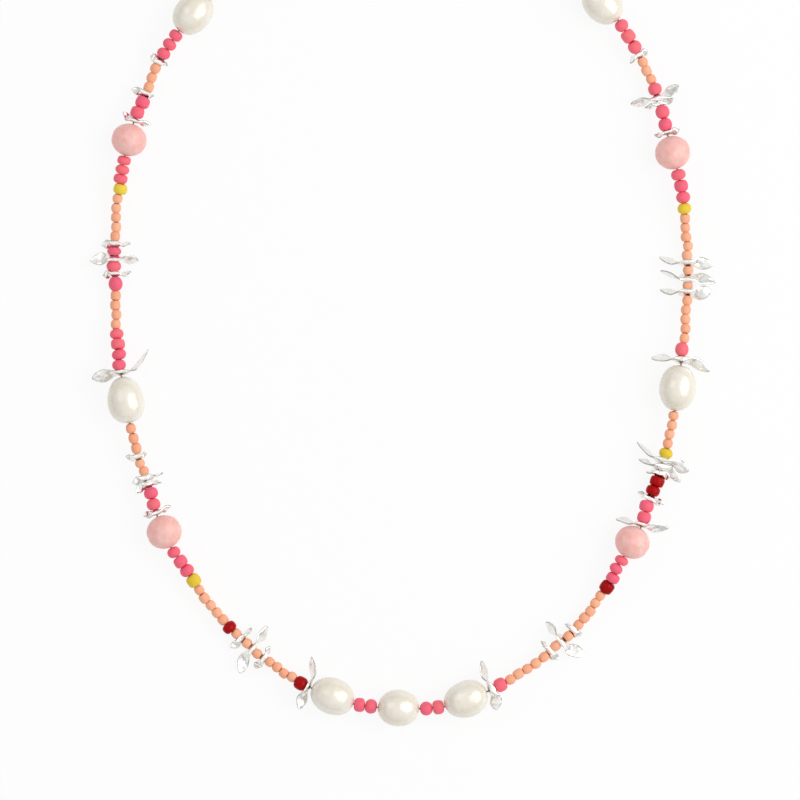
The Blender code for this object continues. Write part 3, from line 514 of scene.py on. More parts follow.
# %% Nacre
def nacre():
    """A pearl's skin: cream with warmer bands, glossy under a thin clear layer."""
    skin = Finish("nacre", 0.30, IOR=2.2, Coat_Weight=0.50, Coat_Roughness=0.16, Coat_IOR=1.5)
    bands = skin.remap(skin.noise(0.28, 2.0), 0.36, 0.66)
    cream = skin.mix(bands, (0.82, 0.76, 0.625), (0.885, 0.84, 0.745))
    blush = skin.remap(skin.noise(0.16, 1.0, 0.4), 0.48, 0.70)
    skin.feed("Base Color", skin.mix(blush * 0.4, cream, (0.86, 0.75, 0.62)))
    clouds = skin.noise(0.6, 2.0)
    skin.feed("Roughness", skin.remap(clouds, 0.3, 0.7, 0.22, 0.32))
    skin.bump(skin.noise(0.45, 2.0), 0.10, 0.8)
    return skin.material


NACRE = nacre()

# %% Rose quartz
def rose_quartz():
    """Cloudy pink stone, tumbled matte, its light scattered a little way under the surface."""
    stone = Finish("rose_quartz", 0.42, IOR=1.54, Subsurface_Weight=0.25, Subsurface_Scale=0.0015)
    clouds = stone.remap(stone.noise(0.42, 4.0, 0.55), 0.34, 0.68)
    pink = stone.mix(clouds, (0.94, 0.47, 0.42), (0.96, 0.59, 0.54))
    veins = stone.remap(stone.noise(1.1, 5.0, 0.6), 0.56, 0.66)
    stone.feed("Base Color", stone.mix(veins * 0.35, pink, (0.97, 0.68, 0.63)))
    stone.worn(stone.noise(9.0, 3.0), 0.36, 0.50, 0.008)
    return stone.material


QUARTZ = rose_quartz()

# %% Silver
def cast_silver():
    """Bright cast silver. Along each edge, where an attribute is 1, its colour is painted dark grey
    as a reflection, and its dents get painted grey shade.
    """
    metal = Finish("cast_silver", 0.16, metallic=1.0)
    rim = metal.add("ShaderNodeAttribute", out=2, attribute_name="rim")
    dents = metal.add("ShaderNodeTexVoronoi", {"Vector": metal.mm, "Scale": 0.95},
                      feature="SMOOTH_F1")
    ripple = metal.noise(1.5, 3.0, 0.5)
    pits = metal.remap(metal.noise(1.9, 2.0, 0.5), 0.68, 0.74)
    bright = metal.mix(metal.remap(ripple, 0.35, 0.7), (0.85, 0.835, 0.80), (0.945, 0.93, 0.905))
    # Painted shade: the colour darkens to grey in the hammered dents.
    hollow = metal.mix(metal.remap(dents, 0.40, 0.85, 0.0, 0.65), bright, (0.64, 0.62, 0.585))
    # Painted reflection: the colour turns dark grey along the edges, where the attribute is 1.
    grey = metal.mix(metal.remap(rim, 0.50, 0.92, 0.0, 0.85), hollow, (0.40, 0.385, 0.355))
    metal.feed("Base Color", metal.mix(pits * 0.70, grey, (0.22, 0.19, 0.15)))
    metal.feed("Roughness", metal.remap(ripple, 0.3, 0.7, 0.12, 0.30))
    metal.bump(dents * 0.8 + ripple * 0.25, 0.24)
    return metal.material


def plain_silver(name, roughness, colour=(0.93, 0.925, 0.91)):
    """Polished silver of the findings, with fine rubbing marks."""
    metal = Finish(name, roughness, metallic=1.0)
    rubbed = metal.noise(5.0, 4.0, 0.6)
    metal.feed("Base Color", metal.mix(metal.remap(rubbed, 0.3, 0.75), shade(colour, 0.93), colour))
    metal.worn(rubbed, roughness - 0.05, roughness + 0.09, 0.006)
    return metal.material


CAST_SILVER = cast_silver()
FINDING_SILVER = plain_silver("finding_silver", 0.18)
SPRING_STEEL = plain_silver("spring_steel", 0.30, (0.55, 0.55, 0.56))
BEADING_WIRE = plain_silver("beading_wire_skin", 0.40, (0.27, 0.20, 0.14))
print("finishes", len(bpy.data.materials))

# %% [markdown]
# ## Seed beads
# A seed bead is a slice of drawn glass tube, tumbled in heat until its rims round off. Geometry
# Nodes put a ring form on one point a bead, which carries its direction and size, with a random
# spin, tilt and fullness. The form starts as a torus. Its inner half is laid against the bore,
# and raising the sine and cosine of its outer half to a power below 1 squares it into a barrel.

# %% One bead's form, in nodes
def bead_form(net, squareness, bore):
    """A ring of unit diameter and length on the z axis, squared up by its power."""
    hole = bore * 0.5
    path_radius = (hole + 0.5) * 0.5
    wall = (0.5 - hole) * 0.5
    path, section = (net.add("GeometryNodeCurvePrimitiveCircle", {"Resolution": n, "Radius": r})
                     for n, r in ((28, path_radius), (16, wall)))
    ring = net.add("GeometryNodeCurveToMesh", {"Curve": path, "Profile Curve": section})
    x, y, z = net.split(net.add("GeometryNodeInputPosition"))
    out = (x * x + y * y) ** 0.5
    power = 1 - squareness
    bulge = ((out - path_radius) / wall).math("MAXIMUM", 0.0) ** power
    stretch = (hole + (0.5 - hole) * bulge) / out
    rise = (z / wall).math("ABSOLUTE") ** power
    moved = net.vector(x * stretch, y * stretch, z.math("SIGN") * rise * 0.5)
    return net.add("GeometryNodeSetPosition", {"Geometry": ring, "Position": moved})


# %% The threading tree
def threading_tree():
    """Puts one of three bead forms on every point, each with its own spin, tilt and tint."""
    net, given = new_tree("threaded_seed_beads", {
        "Squareness": "Float", "Bore": "Float", "Tilt": "Float", "Unevenness": "Float",
        "Seed": "Int", "Glass": "Material"})
    forms = net.tree.nodes.new("GeometryNodeJoinGeometry")
    for extra in (0.20, 0.0, -0.08):
        form = bead_form(net, given["Squareness"] + extra, given["Bore"])
        instance = net.add("GeometryNodeGeometryToInstance", {"Geometry": form})
        net.tree.links.new(instance.socket, forms.inputs[0])

    def chance(low_value, high_value, offset):
        return net.add("FunctionNodeRandomValue", {
            2: low_value, 3: high_value, "Seed": given["Seed"] + offset}, out=1, data_type="FLOAT")

    def own(name):
        return net.add("GeometryNodeInputNamedAttribute", {"Name": name}, data_type="FLOAT_VECTOR")

    facing = net.add("FunctionNodeAlignRotationToVector", {"Vector": own("along")}, axis="Z")
    tilt = given["Tilt"]
    lean = net.add("FunctionNodeEulerToRotation", {"Euler": net.vector(
        chance(-1.0, 1.0, 1) * tilt, chance(-1.0, 1.0, 2) * tilt, chance(0.0, math.tau, 3))})
    turn = net.add("FunctionNodeRotateRotation", {"Rotation": facing, "Rotate By": lean},
                   rotation_space="LOCAL")
    full = net.vector(chance(0.965, 1.035, 4), chance(0.965, 1.035, 5), 1.0)
    size = net.add("ShaderNodeVectorMath", {0: own("size"), 1: full}, operation="MULTIPLY")
    which = net.add("FunctionNodeRandomValue", {4: 0, 5: 2, "Seed": given["Seed"] + 6},
                    out=2, data_type="INT")
    threaded = net.add("GeometryNodeInstanceOnPoints", {
        "Points": given["Geometry"], "Instance": Link(net, forms.outputs[0]),
        "Pick Instance": True, "Instance Index": which, "Rotation": turn, "Scale": size})
    marked = net.add("GeometryNodeStoreNamedAttribute", {
        "Geometry": threaded, "Name": "tint", "Value": chance(0.0, 1.0, 7)},
        data_type="FLOAT", domain="INSTANCE")
    real = net.add("GeometryNodeRealizeInstances", {"Geometry": marked})
    lumps = net.add("ShaderNodeTexNoise", {"Scale": 0.55, "Detail": 1.0})
    push = net.add("ShaderNodeVectorMath", {
        0: net.add("GeometryNodeInputNormal"), "Scale": (lumps - 0.5) * given["Unevenness"]},
        operation="SCALE")
    uneven = net.add("GeometryNodeSetPosition", {"Geometry": real, "Offset": push})
    return end_tree(net, uneven, given["Glass"])


THREADING = threading_tree()

# %% Thread every run
SQUARENESS = {"pink": 0.05, "peach": 0.04, "yellow": 0.04, "red": 0.22}
PLAY = 0.20                  # how far a bead may sit off the wire's middle
jitter = random.Random(11)


def thread(section, kind, beads, strand, number):
    """All the beads of one colour in one run, as one mesh. Some are cut squarer than others."""
    mesh = bpy.data.meshes.new(section + "_" + kind)
    centres, along, sizes = [], [], []
    for a, b in beads:
        place = strand.place(a, b)
        at_mouth = a in strand.mouths or b in strand.mouths
        play = PLAY * (0.2 if at_mouth else 1.0)
        off = Vector((0, jitter.uniform(-play, play), jitter.uniform(-play, play)))
        centres.append(place @ off)
        along.append(place.col[0].to_3d())
        width = SEED_DIA[kind] * jitter.uniform(0.98, 1.03)
        sizes.append(Vector((width, width, (b - a) * (0.93 if at_mouth else 1.015))))
    mesh.from_pydata(centres, [], [])
    for name, values in (("along", along), ("size", sizes)):
        attribute = mesh.attributes.new(name, "FLOAT_VECTOR", "POINT")
        attribute.data.foreach_set("vector", [c for v in values for c in v])
    result = through_nodes("threading", mesh, THREADING, {
        "Squareness": SQUARENESS[kind], "Bore": BORE / SEED_DIA[kind], "Tilt": 0.09,
        "Unevenness": 0.16, "Seed": number, "Glass": SEED_GLASS[kind]})
    dress("%s_%s_beads" % (section, kind), result, node_of(section, kind))
    return len(beads)


total = 0
for strand in (left, right):
    for section in dict.fromkeys(s for s, k, *_ in strand.pieces if k not in LARGE_DIA):
        for kind in SEED_DIA:
            beads = [(a, b) for s, k, a, b, _ in strand.pieces if s == section and k == kind]
            if beads:
                total += thread(section, kind, beads, strand, 10 * total + 3)
print("seed beads", total)

# %% [markdown]
# ## Pearls and quartz
# A freshwater pearl is nearly an egg, with shallow dents and faint rings where it grew. A turned
# profile gives the egg and its drilled hole, and a slow noise pushes the skin in and out. The
# quartz is ground: each flat is a plane that trims a ball, so every point is pulled in to the
# nearest plane that cuts it.

# %% Turned forms
def turned(place, profile, sides):
    """Rings of points round the local x axis, one for each (x, radius) of the profile."""
    return [[place @ Vector((x, r * math.cos(a), r * math.sin(a)))
             for a in (math.tau * k / sides for k in range(sides))] for x, r in profile]


def arc(mouth, steps):
    """An arc from mouth to mouth: how far along each step is, from 1 to -1, and its sine."""
    angles = [math.radians(mouth + (180 - 2 * mouth) * i / steps) for i in range(steps + 1)]
    return [(math.cos(a) / math.cos(math.radians(mouth)), math.sin(a)) for a in angles]


def drilled_bead(name, place, half, mouth, radius_at, shape, sides, steps):
    """A skin turned about x on an arc, then shaped, and closed by its bore."""
    profile = [(half * x, radius_at(x, sine)) for x, sine in arc(mouth, steps)]
    skin = turned(Matrix(), profile, sides)
    bore = turned(place, [(half * 0.97, BORE / 2), (-half * 0.97, BORE / 2)], sides)
    mesh = lofted(name, [[place @ shape(p) for p in ring] for ring in skin] + bore, turned=True)
    mesh.shade_smooth()
    return mesh


# %% A pearl
def add_pearl(node, place, length, seed, taper=0.0):
    def radius_at(x, sine):
        return LARGE_DIA["pearl"] / 2 * sine ** 0.90 * (1 + taper * x)

    def shape(p):
        dent = noise.noise(p * 0.22 + Vector((seed * 7.3, 0, 0)))
        growth = noise.noise(p * 0.55 + Vector((0, seed * 3.1, 0)))
        ripple = 0.003 * math.sin(p.x * 4.2 + seed)
        return p * (1 + 0.020 * dent + 0.010 * growth + ripple)

    mesh = drilled_bead(node + "_skin", place, (length - MOUTH_AIR) / 2, 7, radius_at, shape,
                        72, 44)
    dress(node + "_skin", mesh, node, NACRE)


# %% A quartz
FLATS = 40
FLAT_REACH = 0.955           # how far out the flats lie, as a share of the ball's radius


def flat_directions(seed):
    """Directions spread evenly over a ball, a little disturbed, one for each ground flat."""
    chance = random.Random(seed)
    out = []
    for i in range(FLATS):
        z = 1 - 2 * (i + 0.5) / FLATS
        r = math.sqrt(1 - z * z)
        angle = i * 2.399963 + chance.uniform(-0.12, 0.12)
        out.append(Vector((r * math.cos(angle), r * math.sin(angle), z)).normalized())
    return out


def add_quartz(node, place, length, seed):
    radius = LARGE_DIA["quartz"] / 2
    flats = flat_directions(seed)

    def shape(p):
        cut = max(p.normalized().dot(n) for n in flats)
        return p * min(1.0, FLAT_REACH * radius / max(cut * p.length, 1e-6) * 1.03)

    mesh = drilled_bead(node + "_stone", place, (length - MOUTH_AIR) / 2, 8,
                        lambda x, sine: radius * sine * 1.02, shape, 96, 60)
    dress(node + "_stone", mesh, node, QUARTZ)


# %% Every large bead
number = 0
for strand in (left, right):
    for section, kind, a, b, data in strand.pieces:
        if kind in LARGE_DIA:
            number += 1
            add = add_pearl if kind == "pearl" else add_quartz
            add(node_of(section, kind), strand.place(a, b), b - a, number, *data)
across = right.at(right.knots[0]) - left.at(left.knots[0])
add_pearl("centre_pearl", axes(middle, across, Vector((0, -1, 0))), CENTRE_PEARL_LENGTH, 0)
print("large beads", number + 1)

# %% [markdown]
# ## Silver flakes
# Each flake is a small cast leaf with two wings. Seen from above its hub stands on edge across
# the wire, and each wing twists like a propeller's blade until it shows its dished face. One
# function makes them all: it walks from tip to tip, sets a section across the leaf at each step,
# and waves the whole thing a little, because no two castings are alike.

# %% A flake's sizes
FLAKE_HOLE = 1.00
FLAKE_HUB = 1.25
FLAKE_WAIST = 2.34           # the least width of metal round the hole
FLAKE_THICK = 0.54
FLAKE_DISH = 0.20
FLAKE_TWISTED = 0.60         # the share of a wing's reach at which it has its whole twist
FLAKE_AIR = 0.04             # what the boss round its hole leaves of its room on the wire
FLAKE_BOSS = 1.60            # the thickest boss
FLAKE_LEAN = 17              # degrees by which the whole leaf is turned where it has least room
MOUTH_LEAN = 0.45            # a leaf beside a large bead is turned less
MOUTH_SHIFT = 0.14           # and keeps this much further from it, so that the strand can flex
SMALL_FLAKE = 4.0            # a flake that reaches less far than this has sharp tips
ROWS = 30                    # steps along each wing
ACROSS = 10                  # steps across each face


def ease(x):
    x = min(max(x, 0.0), 1.0)
    return x * x * (3 - 2 * x)


# Places along a wing, as shares of its reach, with the leaf's width there as a share of its
# widest: for a full wing, and for one with a sharp tip.
WING = ((0.22, 0.82, 0.76), (0.45, 0.86, 0.68), (0.66, 0.78, 0.48), (0.82, 0.60, 0.31),
        (0.93, 0.37, 0.17), (1.00, 0.12, 0.05))


def leaf_width(share, waist, sharp):
    """How wide the leaf is, as a share of its widest, between the hub's waist and the tip."""
    shares, full, lean = zip((0.0, waist, waist), *WING)
    return float(np.interp(share, shares, [w + (v - w) * sharp for w, v in zip(full, lean)]))


# %% A flake's mesh
def flake_mesh(name, place, room, at_mouth, shape, seed):
    out, out_lean, inward, in_lean, width, twist, roll = shape
    place = place @ Matrix.Rotation(math.radians(roll), 4, "X")
    chance = random.Random(seed)
    waist = max(width * 0.78, FLAKE_WAIST) / width
    wave, phase = chance.uniform(0.10, 0.20), chance.uniform(0, math.tau)
    degrees = FLAKE_LEAN + min(9, 30 * (room - 1.20))
    if at_mouth:
        degrees *= MOUTH_LEAN
        place = place @ Matrix.Translation((MOUTH_SHIFT, 0, 0))
    whole_turn = math.radians(math.copysign(degrees, twist))
    air = 0.12 + 2 * MOUTH_SHIFT if at_mouth else FLAKE_AIR
    boss_thick = min(room - air, FLAKE_BOSS)
    bluntest, sharpest = (0.75, 1.25) if max(out, inward) < SMALL_FLAKE else (0.0, 0.6)
    sharp = {1: chance.uniform(bluntest, sharpest), -1: chance.uniform(bluntest, sharpest)}
    painted_rim_reflections = []
    rows = []
    for i in range(-ROWS, ROWS + 1):
        side = 1 if i >= 0 else -1
        reach, lean = (out, out_lean) if side > 0 else (inward, in_lean)
        along = reach * abs(i) / ROWS
        share = max(0.0, (along - FLAKE_HUB) / (reach - FLAKE_HUB))
        turned_share = max(0.0, (along - FLAKE_HUB / 2) / (reach - FLAKE_HUB / 2))
        turn = whole_turn + math.radians(twist) * side * ease(turned_share / FLAKE_TWISTED)
        across = Vector((math.sin(turn), 0, math.cos(turn)))
        face = Vector((math.cos(turn), 0, -math.sin(turn)))
        ripple = 1 + 0.07 * noise.noise(Vector((share * 3.1 * side, seed * 1.7, 0.0)))
        half = width / 2 * leaf_width(share, waist, sharp[side]) * ripple
        sway = wave * math.sin(share * 5.0 + phase) * ease(share * 2)
        centre = Vector((lean * share ** 1.6, side * along, 0)) + face * sway
        boss = (boss_thick - FLAKE_THICK) / 2 * (1 - ease(along / (1.7 * FLAKE_HUB)))
        thick = FLAKE_THICK / 2 * (1 - 0.35 * share ** 3) + boss
        hollow = FLAKE_DISH * ease(share * 3.5) * (1 - 0.7 * share ** 4)
        ring = []
        for k in range(2 * ACROSS):
            front = k < ACROSS
            q = math.cos(math.pi * (k if front else 2 * ACROSS - k) / ACROSS)
            edge = (1 - abs(q) ** 5) ** 0.5
            dent = 0.08 * noise.noise(Vector((q * half * 1.3, side * along * 1.3, seed + front)))
            if front:
                lift = thick * edge - hollow * (1 - q * q) + dent * edge * ease(share * 4)
            else:
                lift = -thick * edge - 0.4 * hollow * (1 - q * q)
            ring.append(place @ (centre + across * half * q + face * lift))
            # Painted reflection: 1 along the leaf's edges and tip, where its colour is painted dark
            # grey.
            painted_rim_reflections.append(max(abs(q) ** 4 * ease(share * 4), share ** 14))
        rows.append(ring)
    mesh = lofted(name, rows)
    mesh.attributes.new("rim", "FLOAT", "POINT").data.foreach_set("value", painted_rim_reflections)
    return mesh


# %% Joining and cutting
def drill_mesh(place, diameter):
    """A round rod along the wire. A place on the right is a mirror image, which turns the rod
    inside out, and so it leaves the leaves there whole."""
    bm = bmesh.new()
    bmesh.ops.create_cone(bm, cap_ends=True, segments=24, radius1=diameter / 2,
                          radius2=diameter / 2, depth=4.0,
                          matrix=place @ Matrix.Rotation(math.pi / 2, 4, "Y"))
    return mesh_of("drill", bm)


def fitted(name, mesh, joined=(), cut=()):
    """An object that joins these meshes to its own and cuts it by others, and its helpers."""
    base = in_scene(name, mesh)
    helpers = []
    for meshes, operation in ((joined, "UNION"), (cut, "DIFFERENCE")):
        for other in meshes:
            helpers.append(in_scene("form", other))
            step = base.modifiers.new("form", "BOOLEAN")
            step.operation = operation
            step.solver = "EXACT"
            step.object = helpers[-1]
    return base, helpers


# %% Every flake
flakes = 0
for strand in (left, right):
    counts = {}
    for section, kind, a, b, shape in strand.pieces:
        if kind != "flake":
            continue
        flakes += 1
        counts[section] = counts.get(section, 0) + 1
        node = "%s_flake_%d" % (section, counts[section])
        if node not in frame["nodes"]:
            node = node_of(section, kind)        # a flake that its run holds
        name = "%s_leaf_%d" % (section, counts[section])
        place = strand.place(a, b)
        leaf = flake_mesh(name, place, b - a, a in strand.mouths, shape, flakes)
        mesh = baked(*fitted(name, leaf, cut=[drill_mesh(place, FLAKE_HOLE)]))
        mesh.shade_smooth()
        mesh.set_sharp_from_angle(angle=math.radians(50))
        dress(name, mesh, node, CAST_SILVER)
print("flakes", flakes)

# %% [markdown]
# ## Drawn wire
# The beading wire, both jump rings and the clasp's spring are all a round bar along a line. A
# small Geometry Nodes tree turns any line of points into it. The beading wire is cut at the
# bodies' borders, so that every stretch turns with the beads it runs through.

# %% The drawn wire tree
def drawing_tree():
    net, given = new_tree("drawn_wire", {"Diameter": "Float", "Sides": "Int", "Metal": "Material"})
    curve = net.add("GeometryNodeMeshToCurve", {"Mesh": given["Geometry"]})
    section = net.add("GeometryNodeCurvePrimitiveCircle", {
        "Resolution": given["Sides"], "Radius": given["Diameter"] * 0.5})
    bar = net.add("GeometryNodeCurveToMesh", {
        "Curve": curve, "Profile Curve": section, "Fill Caps": True})
    real = net.add("GeometryNodeRealizeInstances", {"Geometry": bar})
    return end_tree(net, real, given["Metal"])


DRAWING = drawing_tree()


def drawn(name, points, diameter, metal, sides):
    """A round bar along a line of points, in millimetres."""
    mesh = bpy.data.meshes.new(name)
    mesh.from_pydata([Vector(p) for p in points], [(i, i + 1) for i in range(len(points) - 1)], [])
    return through_nodes(name, mesh, DRAWING, {"Diameter": diameter, "Sides": sides,
                                               "Metal": metal})


# %% The findings' places
CRIMP_LENGTH = 2.60
CRIMP_DIA = 2.40
CRIMP_BORE = 1.55
LOOP_WIDTH = 2.40
LOOP_LENGTH = 2.90
WIRE_LEG = 0.32
RING_WIRE = 0.60
RING_DIA = 3.60
RING_PLAY = 0.15
CRIMP_FROM = 0.12
CRIMP_TO = CRIMP_FROM + CRIMP_LENGTH
LOOP_END = CRIMP_TO + LOOP_LENGTH
RING_NEAR = LOOP_END - WIRE_DIA / 2 - RING_WIRE / 2 - RING_PLAY
RING_MIDDLE = RING_NEAR + (RING_DIA - RING_WIRE) / 2
RING_FAR = RING_MIDDLE + (RING_DIA - RING_WIRE) / 2


def end_axes(strand):
    """Axes where the wire leaves its last bead."""
    p = strand.at(strand.end)
    along = p - strand.at(strand.end - 1.0)
    along.z = 0
    return axes(p, along, strand.outward(along))


def loop_points(place):
    """The wire's way through its crimp, round its loop and back."""
    w = LOOP_WIDTH / 2
    half = (CRIMP_TO + LOOP_END) / 2
    out = ((CRIMP_TO, WIRE_LEG), (half - 0.55, w * 0.8), (half + 0.35, w),
           (LOOP_END - 0.35, w * 0.7))
    local = [(CRIMP_FROM + 0.35, -WIRE_LEG), *((t, -n) for t, n in out), (LOOP_END, 0.0),
             *reversed(out), (CRIMP_FROM + 0.9, WIRE_LEG)]
    return [place @ Vector((t, n, 0)) for t, n in spline(local, 0.2)]


# %% The beading wire, body by body
stretches_drawn = 0
for side, strand in (("left", left), ("right", right)):
    stretches = {}
    for section, kind, a, b, _ in strand.pieces:
        body = BODY_OF[node_of(section, kind)]
        first, last = stretches.get(body, (a, b))
        stretches[body] = (min(first, a), max(last, b))
    for body, (a, b) in stretches.items():
        if body == BODY_OF["centre_pearl"]:
            a = 0.0
        inner = [k for k in strand.knots if a + 0.05 < k < b - 0.05]
        points = [strand.at(s) for s in [a] + inner + [b]]
        if b > strand.end - 0.01:
            points += loop_points(end_axes(strand))
        name = "wire_%s_%s" % (side, body)
        dress(name, drawn(name, points, WIRE_DIA, BEADING_WIRE, 10), "beading_wire",
              body=body)
    stretches_drawn += len(stretches)
print("wire stretches", stretches_drawn)

# %% [markdown]
# ## Crimps, rings and the clasp
# These are past the photograph's top edge, so they follow what such necklaces have. A crimp cover
# is a small round bead over the two strands of wire, and a jump ring a turn of wire with a cut in
# it. The clasp is a casting: its eye, body and hook flow into each other, as a voxel remesh of
# the joined forms does.

# %% Crimps and rings
def add_crimp(side, place):
    half = CRIMP_LENGTH / 2
    hole = CRIMP_BORE / 2
    profile = [(half * x, CRIMP_DIA / 2 * sine ** 0.35) for x, sine in arc(20, 18)]
    profile += [(-half * 0.96, hole + 0.08), (-half * 0.9, hole), (half * 0.9, hole),
                (half * 0.96, hole + 0.08)]
    centre = place @ Matrix.Translation((CRIMP_FROM + half, 0, 0))
    mesh = lofted(side + "_crimp_cover", turned(centre, profile, 40), turned=True)
    mesh.shade_smooth()
    dress(side + "_crimp_cover", mesh, side + "_crimp", FINDING_SILVER)


def add_ring(name, node, place):
    """A jump ring standing on edge. Its cut is a hairline at the top of the turn."""
    radius = (RING_DIA - RING_WIRE) / 2
    centre = place @ Matrix.Translation((RING_MIDDLE, 0, 0))
    cut = math.radians(3.0)
    turn = [cut / 2 + math.pi / 2 + (math.tau - cut) * i / 64 for i in range(65)]
    points = [centre @ Vector((radius * math.cos(a), 0, radius * math.sin(a))) for a in turn]
    dress(name, drawn(name, points, RING_WIRE, FINDING_SILVER, 18), node)


left_end, right_end = end_axes(left), end_axes(right)
add_crimp("left", left_end)
add_crimp("right", right_end)
add_ring("clasp_ring_wire", "clasp_jump_ring", left_end)
add_ring("closing_ring_wire", "closing_jump_ring", right_end)
print("two crimps, two rings")

# %% The clasp's frame and outlines
CLASP_THICK = 2.80
CLASP_EYE_RADIUS = 1.30
CLASP_EYE_WIRE = 0.90
LEVER_THICK = 1.00
LEVER_PLAY = 0.15
RIVET_DIA = 0.80
SPRING_DIA = 0.75
SPRING_WIRE = 0.16
SPRING_AT = 4.08
SLOT_FLOOR = -0.35
LEVER_UNDERSIDE = 0.42
SPRING_SEAT = 0.06
PIVOT = (2.9, 0.85)
BODY = ((-0.1, -0.95), (1.1, -1.7), (2.7, -2.15), (4.7, -2.45), (4.7, -1.1), (4.3, 0.3),
        (3.6, 1.5), (2.9, 1.75), (1.9, 1.65), (0.9, 1.25), (-0.1, 0.95))
HOOK = ((3.7, -1.70), (4.9, -1.85), (6.3, -1.95), (7.6, -1.65), (8.6, -0.85), (9.0, 0.2),
        (8.7, 1.25), (7.95, 1.85))
HOOK_RADII = (0.62, 0.80, 0.82, 0.80, 0.76, 0.72, 0.66, 0.58)
LEVER = ((2.12, 0.65), (2.45, 0.20), (3.05, 0.08), (3.70, 0.42), (5.10, 0.98), (7.15, 1.40),
         (7.32, 1.75), (7.20, 2.20), (5.00, 2.05), (4.70, 2.85), (4.15, 2.95), (3.60, 1.80),
         (3.00, 1.62), (2.40, 1.45))
p = left_end @ Vector((RING_FAR, 0, 0))
p.z = CLASP_THICK / 2 + LYING_CLEAR
eye_at = CLASP_EYE_RADIUS - CLASP_EYE_WIRE / 2 - RING_WIRE / 2 - RING_PLAY
EYE = Matrix.Translation(p) @ left_end.to_3x3().to_4x4() @ Matrix.Translation((eye_at, 0, 0))
CLASP = EYE @ Matrix.Translation((CLASP_EYE_RADIUS, 0, 0))


def plate(name, outline, low_z, high_z):
    """A flat plate of an outline in the clasp's plane."""
    return lofted(name, [[CLASP @ Vector((u, n, z)) for u, n in outline]
                         for z in (high_z, low_z)])


def circle(centre_at, radius, count=32):
    return [(centre_at[0] + radius * math.cos(math.tau * k / count),
             centre_at[1] + radius * math.sin(math.tau * k / count)) for k in range(count)]


# %% Cast the clasp
def bar_mesh(name, points, radii, closed, sides=18):
    """A round bar of changing thickness in the clasp's plane."""
    rings = []
    up = Vector((0, 0, 1))
    for i, p in enumerate(points):
        before = points[i - 1] if closed or i else p
        after = points[(i + 1) % len(points)] if closed or i < len(points) - 1 else p
        side = (after - before).normalized().cross(up).normalized()
        rings.append([p + (up * math.cos(a) + side * math.sin(a)) * radii[i]
                      for a in (math.tau * k / sides for k in range(sides))])
    return lofted(name, rings, turned=closed)


def cast(name, base_mesh, joined, cut, voxel, rounds):
    """Joined forms, melted together as a casting is, then rubbed smooth."""
    base, helpers = fitted(name, base_mesh, joined, cut)
    melt = base.modifiers.new("melt", "REMESH")
    melt.mode = "VOXEL"
    melt.voxel_size = voxel
    rub = base.modifiers.new("rub", "SMOOTH")
    rub.iterations = rounds
    rub.factor = 0.5
    mesh = baked(base, helpers)
    mesh.shade_smooth()
    mesh.materials.clear()
    return mesh


half_clasp = CLASP_THICK / 2
hook_line = spline([(*point, radius) for point, radius in zip(HOOK, HOOK_RADII)], 0.3)
eye_line = circle((0, 0), CLASP_EYE_RADIUS, 48)
slot_half = LEVER_THICK / 2 + LEVER_PLAY
body_mesh = cast(
    "clasp_casting", plate("body", spline(BODY, 0.18, closed=True), -half_clasp, half_clasp),
    [bar_mesh("eye", [EYE @ Vector((u, n, 0)) for u, n in eye_line],
              [CLASP_EYE_WIRE / 2] * len(eye_line), True),
     bar_mesh("hook", [CLASP @ Vector((u, n, 0)) for u, n, _ in hook_line],
              [r for _, _, r in hook_line], False)],
    [plate("slot", ((1.4, SLOT_FLOOR), (5.7, SLOT_FLOOR), (5.7, 3.0), (1.4, 3.0)),
           -slot_half, slot_half),
     plate("rivet_hole", circle(PIVOT, RIVET_DIA / 2 + 0.10), -half_clasp - 1, half_clasp + 1)],
    0.085, 5)
dress("clasp_casting", body_mesh, "clasp_body", FINDING_SILVER)
lever_mesh = cast(
    "clasp_thumb_lever",
    plate("lever", spline(LEVER, 0.18, closed=True), -LEVER_THICK / 2, LEVER_THICK / 2), [],
    [plate("lever_hole", circle(PIVOT, RIVET_DIA / 2 + 0.10), -2, 2)], 0.06, 3)
dress("clasp_thumb_lever", lever_mesh, "clasp_lever", FINDING_SILVER)
print("clasp", len(body_mesh.polygons), "lever", len(lever_mesh.polygons))

# %% Rivet and spring
rivet_half = half_clasp - 0.02
rivet_place = CLASP @ Matrix.Translation((*PIVOT, 0)) @ Matrix.Rotation(math.pi / 2, 4, "Y")
r = RIVET_DIA / 2
head = ((rivet_half, 0.02), (rivet_half, r - 0.10), (rivet_half - 0.06, r - 0.02),
        (rivet_half - 0.14, r))
rivet_profile = [(-x, radius) for x, radius in head] + list(reversed(head))
rivet = lofted("clasp_rivet_pin", turned(rivet_place, rivet_profile, 28), turned=True)
rivet.shade_smooth()
dress("clasp_rivet_pin", rivet, "clasp_rivet", FINDING_SILVER)

SPRING_TURNS = 2.5
spring_low = SLOT_FLOOR + SPRING_SEAT + SPRING_WIRE / 2
spring_high = LEVER_UNDERSIDE - SPRING_SEAT - SPRING_WIRE / 2
spring_radius = (SPRING_DIA - SPRING_WIRE) / 2
steps = int(SPRING_TURNS * 24)
coil = [CLASP @ Vector((SPRING_AT + spring_radius * math.cos(math.tau * i / 24),
                        spring_low + (spring_high - spring_low) * i / steps,
                        spring_radius * math.sin(math.tau * i / 24))) for i in range(steps + 1)]
spring = dress("clasp_coil", drawn("clasp_coil", coil, SPRING_WIRE, SPRING_STEEL, 10),
               "clasp_spring")
foot = TO_FRAME @ (CLASP @ Vector((SPRING_AT, SLOT_FLOOR, 0)))
upward = (CLASP.to_3x3() @ Vector((0, 1, 0))).normalized()
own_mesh(spring)

# %% [markdown]
# ## Floor and light
# The photograph has a white ground and one soft light from the right. The floor is white to the
# camera by an even glow, and keeps the necklace's own faint shadow. A large soft lamp stands to
# the right, half way down from overhead, and the white room fills in the rest.

# %% Floor
FLOOR_GLOW = 0.88            # share of the floor's white that no shadow takes away


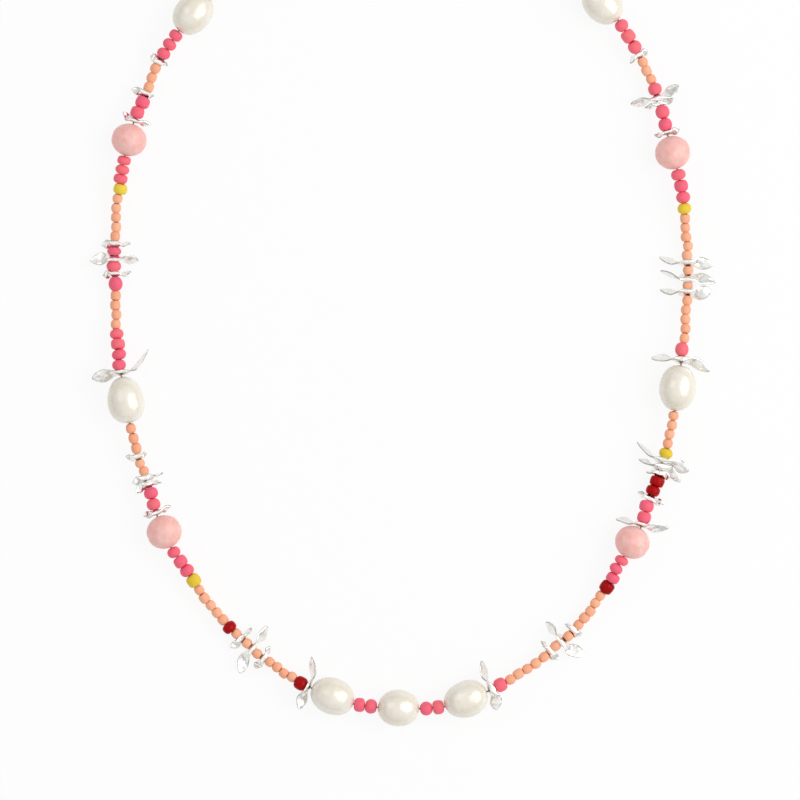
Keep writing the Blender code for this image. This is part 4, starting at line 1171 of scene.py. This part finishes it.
def seen_directly(net):
    """1 for what the camera, a reflection or a look through glass sees."""
    camera_ray, glossy, through = net.outputs(
        "ShaderNodeLightPath", "Is Camera Ray", "Is Glossy Ray", "Is Transmission Ray")
    return camera_ray.math("MAXIMUM", glossy).math("MAXIMUM", through)


floor_mesh = bpy.data.meshes.new("floor")
floor_mesh.from_pydata([(-3, -3, -0.0002), (3, -3, -0.0002), (3, 3, -0.0002), (-3, 3, -0.0002)],
                       [], [(0, 1, 2, 3)])
ground = Finish("white_ground", 0.9, Specular_IOR_Level=0.0)
ground.shader.inputs["Base Color"].default_value = (0.94, 0.94, 0.94, 1.0)
glow = ground.add("ShaderNodeEmission", {"Color": (1.0, 1.0, 1.0, 1.0), "Strength": 1.0})
surface = ground.add("ShaderNodeMixShader", {
    0: seen_directly(ground) * FLOOR_GLOW, 1: Link(ground, ground.shader.outputs[0]), 2: glow})
ground.tree.links.new(surface.socket, ground.tree.nodes["Material Output"].inputs["Surface"])
floor_mesh.materials.append(ground.material)
floor = in_scene("floor", floor_mesh)

# %% Lamps and room
ROOM_LIGHT = 0.60            # how bright the room is to what it lights
HORIZON = 0.42               # how bright its walls are in a reflection, beside its ceiling


def soft_lamp(name, at, size, watts):
    lamp = bpy.data.lights.new(name, "AREA")
    lamp.shape = "DISK"
    lamp.size = size
    lamp.energy = watts
    lamp_object = in_scene(name, lamp)
    lamp_object.location = at
    lamp_object.rotation_euler = (-Vector(at)).to_track_quat("-Z", "Y").to_euler()


soft_lamp("key", (0.60, 0.06, 0.62), 1.00, 4.4)
soft_lamp("side", (-0.55, 0.30, 0.80), 0.60, 0.6)
world = bpy.data.worlds.new("white_room")
bpy.context.scene.world = world
world.use_nodes = True
net = Net(world.node_tree)
sky = world.node_tree.nodes["Background"]
sky.inputs["Color"].default_value = (1.0, 1.0, 1.0, 1.0)
reflected, = net.outputs("ShaderNodeLightPath", "Is Glossy Ray")
up = net.split(net.add("ShaderNodeTexCoord"))[2]
wall = net.remap(up, 0.0, 0.75, HORIZON, 1.0)
direct = seen_directly(net)
seen = (1 - reflected) + reflected * wall
strength = direct * seen + (1 - direct) * ROOM_LIGHT
net.tree.links.new(strength.socket, sky.inputs["Strength"])
